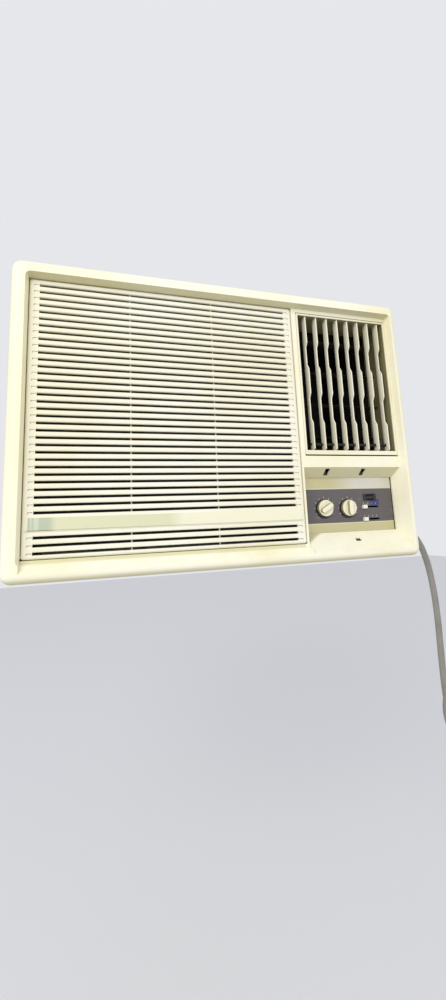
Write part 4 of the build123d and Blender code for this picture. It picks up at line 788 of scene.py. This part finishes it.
def screwPlaces(sizes):
    low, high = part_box("outer_cabinet")
    spots = []
    for y in (low.y + sizes["fromFront"] * mm, high.y - sizes["fromBack"] * mm):
        for z in sizes["sideRows"]:
            spots.append((Vector((low.x, y, z * mm)), Vector((-1, 0, 0))))
            spots.append((Vector((high.x, y, z * mm)), Vector((1, 0, 0))))
        for x in sizes["topRows"]:
            spots.append((Vector((x * mm, y, high.z)), Vector((0, 0, 1))))
    return spots


def pointMesh(name, spots):
    mesh = bpy.data.meshes.new(name)
    mesh.from_pydata([spot for spot, facing in spots], [], [])
    facings = mesh.attributes.new("facing", "FLOAT_VECTOR", "POINT")
    for item, (spot, facing) in zip(facings.data, spots):
        item.vector = facing
    return mesh


screwMaker = screwTree(metals["shaft"], screwSizes)
screwMesh = screwMaker.bake("sleeveScrews", pointMesh("screwSpots", screwPlaces(screwSizes)),
                            radius=screwSizes["radius"] * mm, height=screwSizes["height"] * mm,
                            cut=screwSizes["cut"] * mm, cutDeep=screwSizes["cutDeep"] * mm)
keep(screwMesh, "sleeveScrews", metals["shaft"], "chassis")
print("screws made")


# Ink with a worn, uneven coat, for printed marks and for painted shadow marks
def printAndShadowInk(name, full, worn):
    finish = Finish(name, roughness=0.5)
    finish.feed(baseColor=finish.mix(finish.steps(finish.noise(300.0, 4.0), 0.45, 0.75), full, worn))
    return finish


# Marks on the control plate: arcs of ticks round the knobs, short scales beside the levers
markSizes = {"long": 2.6, "wide": 0.6, "thick": 0.12, "reach": 18.0, "count": 9, "sweep": 240.0,
             "halfSlide": 12.0, "scaleRise": 5.6, "scaleStep": 8.0, "scaleCount": 4}
markInk = printAndShadowInk("markInk", tone(232, 228, 206), tone(190, 184, 160))


def arcTree(finish):
    maker = Maker("dialTicks", finish, count=9, reach=0.018, start=0.0, sweep=4.0, tick=(0.0, 0.0, 0.0),
                  place=(0.0, 0.0, 0.0))
    arc = maker.node("GeometryNodeCurveArc", {"mode": "RADIUS"}, {
        "Resolution": maker.given("count"), "Radius": maker.given("reach"), "Start Angle": maker.given("start"),
        "Sweep Angle": maker.given("sweep")})
    points = maker.node("GeometryNodeCurveToPoints", {"mode": "EVALUATED"}, {0: arc}).node
    turn = maker.node("FunctionNodeAlignRotationToVector", {"axis": "X"}, {"Vector": points.outputs["Tangent"]})
    tick = maker.node("GeometryNodeMeshCube", sockets={"Size": maker.given("tick")})
    ticks = maker.copies(points.outputs["Points"], tick, Rotation=turn)
    stood = maker.node("GeometryNodeTransform", sockets={
        "Geometry": ticks, "Translation": maker.given("place"), "Rotation": (math.pi / 2, 0, 0)})
    maker.close(stood)
    return maker


def scaleTree(finish):
    maker = Maker("scaleTicks", finish, count=4, first=(0.0, 0.0, 0.0), step=(0.0, 0.0, 0.0), tick=(0.0, 0.0, 0.0))
    tick = maker.node("GeometryNodeMeshCube", sockets={"Size": maker.given("tick")})
    maker.close(maker.copies(maker.row(maker.given("count"), maker.given("first"), maker.given("step")), tick))
    return maker


def makeMarks(sizes):
    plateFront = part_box("control_plate")[0].y
    arcs = arcTree(markInk)
    sweep = math.radians(sizes["sweep"])
    for number, knob in enumerate(knobNodes):
        middle = middleOf(knob)
        mesh = arcs.bake(f"dialTicks{number}", count=sizes["count"], reach=sizes["reach"] * mm,
                         start=math.pi / 2 - sweep / 2, sweep=sweep,
                         tick=metres(sizes["wide"], sizes["long"], sizes["thick"]),
                         place=(middle.x, plateFront, middle.z))
        keep(mesh, f"dialTicks{number}", markInk, "chassis")
    scales = scaleTree(markInk)
    toFirst = sizes["halfSlide"] - sizes["scaleStep"] * (sizes["scaleCount"] - 1) / 2
    for number, lever in enumerate(leverNodes):
        middle = middleOf(lever)
        mesh = scales.bake(f"leverScale{number}", count=sizes["scaleCount"],
                           first=(middle.x + toFirst * mm, plateFront, middle.z + sizes["scaleRise"] * mm),
                           step=metres(sizes["scaleStep"], 0, 0),
                           tick=metres(sizes["wide"], sizes["thick"], sizes["long"]))
        keep(mesh, f"leverScale{number}", markInk, "chassis")


makeMarks(markSizes)
print("plate marks made")


# Painted shadow of the rounded slot ends: thin dark hooks on the grille's side rails
railSizes = {"inset": 13.5, "long": 6.8, "tall": 0.9, "thick": 0.12, "hook": 1.6, "pitch": 10.3,
             "upperDrop": 9.0, "upperCount": 33, "lowerDrop": 8.3, "lowerCount": 3}
slotEndShadow = printAndShadowInk("slotEndShadow", tone(136, 130, 108), tone(200, 193, 166))


def hookTree(finish):
    maker = Maker("slotEnds", finish, count=4, first=(0.0, 0.0, 0.0), step=(0.0, 0.0, 0.0), bar=(0.0, 0.0, 0.0),
                  leg=(0.0, 0.0, 0.0), legAt=(0.0, 0.0, 0.0))
    bar = maker.node("GeometryNodeMeshCube", sockets={"Size": maker.given("bar")})
    hook = maker.join(bar, maker.block(maker.given("leg"), maker.given("legAt")))
    maker.close(maker.copies(maker.row(maker.given("count"), maker.given("first"), maker.given("step")), hook))
    return maker


def makeSlotEnds(sizes):
    low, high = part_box("intake_grille")
    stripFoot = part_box("name_strip")[0].z
    inset = sizes["inset"] * mm
    rails = [(low.x + inset, -1), (high.x - inset, 1)]
    runs = [(high.z - sizes["upperDrop"] * mm, sizes["upperCount"]),
            (stripFoot - sizes["lowerDrop"] * mm, sizes["lowerCount"])]
    hooks = hookTree(slotEndShadow)
    legX = (sizes["long"] - sizes["tall"]) / 2
    legZ = (sizes["tall"] + sizes["hook"]) / 2
    for number, (x, side) in enumerate(rails):
        for part, (top, count) in enumerate(runs):
            name = f"slotEnds{number}{part}"
            mesh = hooks.bake(name, count=count, first=(x, low.y, top), step=metres(0, 0, -sizes["pitch"]),
                              bar=metres(sizes["long"], sizes["thick"], sizes["tall"]),
                              leg=metres(sizes["tall"], sizes["thick"], sizes["hook"]),
                              legAt=metres(side * legX, 0, -legZ))
            keep(mesh, name, slotEndShadow, "grille")


makeSlotEnds(railSizes)
print("slot ends made")


# Painted shade: dark shells set behind the door's latch hole and in its two hinge slots
slope = math.sqrt(0.5)
holeShadeSizes = {
    "latchHoleShade": {"middle": (213.0, -353.0, 19.0), "inward": (0, slope, -slope), "sunk": 1.6, "thick": 0.8,
                    "halfWide": 6.0, "halfTall": 5.2},
    "hingeSlotShadeLeft": {"middle": (165.7, -344.0, 131.0), "inward": (0, 1, 0), "sunk": -0.25, "thick": 0.2,
                        "halfWide": 4.4, "halfTall": 4.5},
    "hingeSlotShadeRight": {"middle": (235.2, -344.0, 131.0), "inward": (0, 1, 0), "sunk": -0.25, "thick": 0.2,
                         "halfWide": 4.4, "halfTall": 4.5},
}


def makeHoleShade(name, sizes):
    inward = Vector(sizes["inward"])
    across = Vector((1, 0, 0))
    middle = Vector(metres(*sizes["middle"]))
    rings = [ovalRing(middle + inward * (depth * mm), across, inward.cross(across), sizes["halfWide"] * mm,
                      sizes["halfTall"] * mm, power=6.0)
             for depth in (sizes["sunk"] + sizes["thick"], sizes["sunk"])]
    keep(shell(name, rings), name, metals["black"], "chassis")


for name, sizes in holeShadeSizes.items():
    makeHoleShade(name, sizes)
print("sockets made")


# Floor far below, soft light from the front left, pale surroundings
lightSizes = {
    "floor": -0.80, "floorSpan": 14.0, "floorTone": tone(222, 223, 226),
    "sky": tone(250, 251, 255), "skyStrength": 0.83,
    "lamps": [
        {"name": "windowKey", "place": (-1.6, -2.3, 1.5), "size": 1.6, "power": 39.0, "colour": (1.0, 0.98, 0.94)},
        {"name": "roomFill", "place": (1.6, -2.2, 0.3), "size": 2.2, "power": 4.0, "colour": (0.95, 0.97, 1.0)},
    ],
    "aim": (0.0, -0.35, 0.2),
}


def makeLight(sizes):
    world = bpy.data.worlds.new("paleRoom")
    world.use_nodes = True
    world.node_tree.nodes["Background"].inputs["Color"].default_value = sizes["sky"]
    world.node_tree.nodes["Background"].inputs["Strength"].default_value = sizes["skyStrength"]
    bpy.context.scene.world = world
    bpy.context.scene.view_settings.view_transform = "Standard"
    for lamp in sizes["lamps"]:
        light = bpy.data.lights.new(lamp["name"], "AREA")
        light.energy = lamp["power"]
        light.size = lamp["size"]
        light.color = lamp["colour"]
        holder = bpy.data.objects.new(lamp["name"], light)
        place = Vector(lamp["place"])
        turn = (Vector(sizes["aim"]) - place).to_track_quat("-Z", "Y").to_matrix().to_4x4()
        holder.matrix_world = Matrix.Translation(place) @ turn
        bpy.context.scene.collection.objects.link(holder)


def makeFloor(sizes):
    half = sizes["floorSpan"] / 2
    mesh = bpy.data.meshes.new("paleFloor")
    corners = [(-half, -half), (half, -half), (half, half), (-half, half)]
    mesh.from_pydata([(x, y, sizes["floor"]) for x, y in corners], [], [(0, 1, 2, 3)])
    mesh.materials.append(Finish("paleFloor", baseColor=sizes["floorTone"], roughness=0.7).material)
    floor = bpy.data.objects.new("paleFloor", mesh)
    bpy.context.scene.collection.objects.link(floor)


makeLight(lightSizes)
makeFloor(lightSizes)
print("light and floor set")
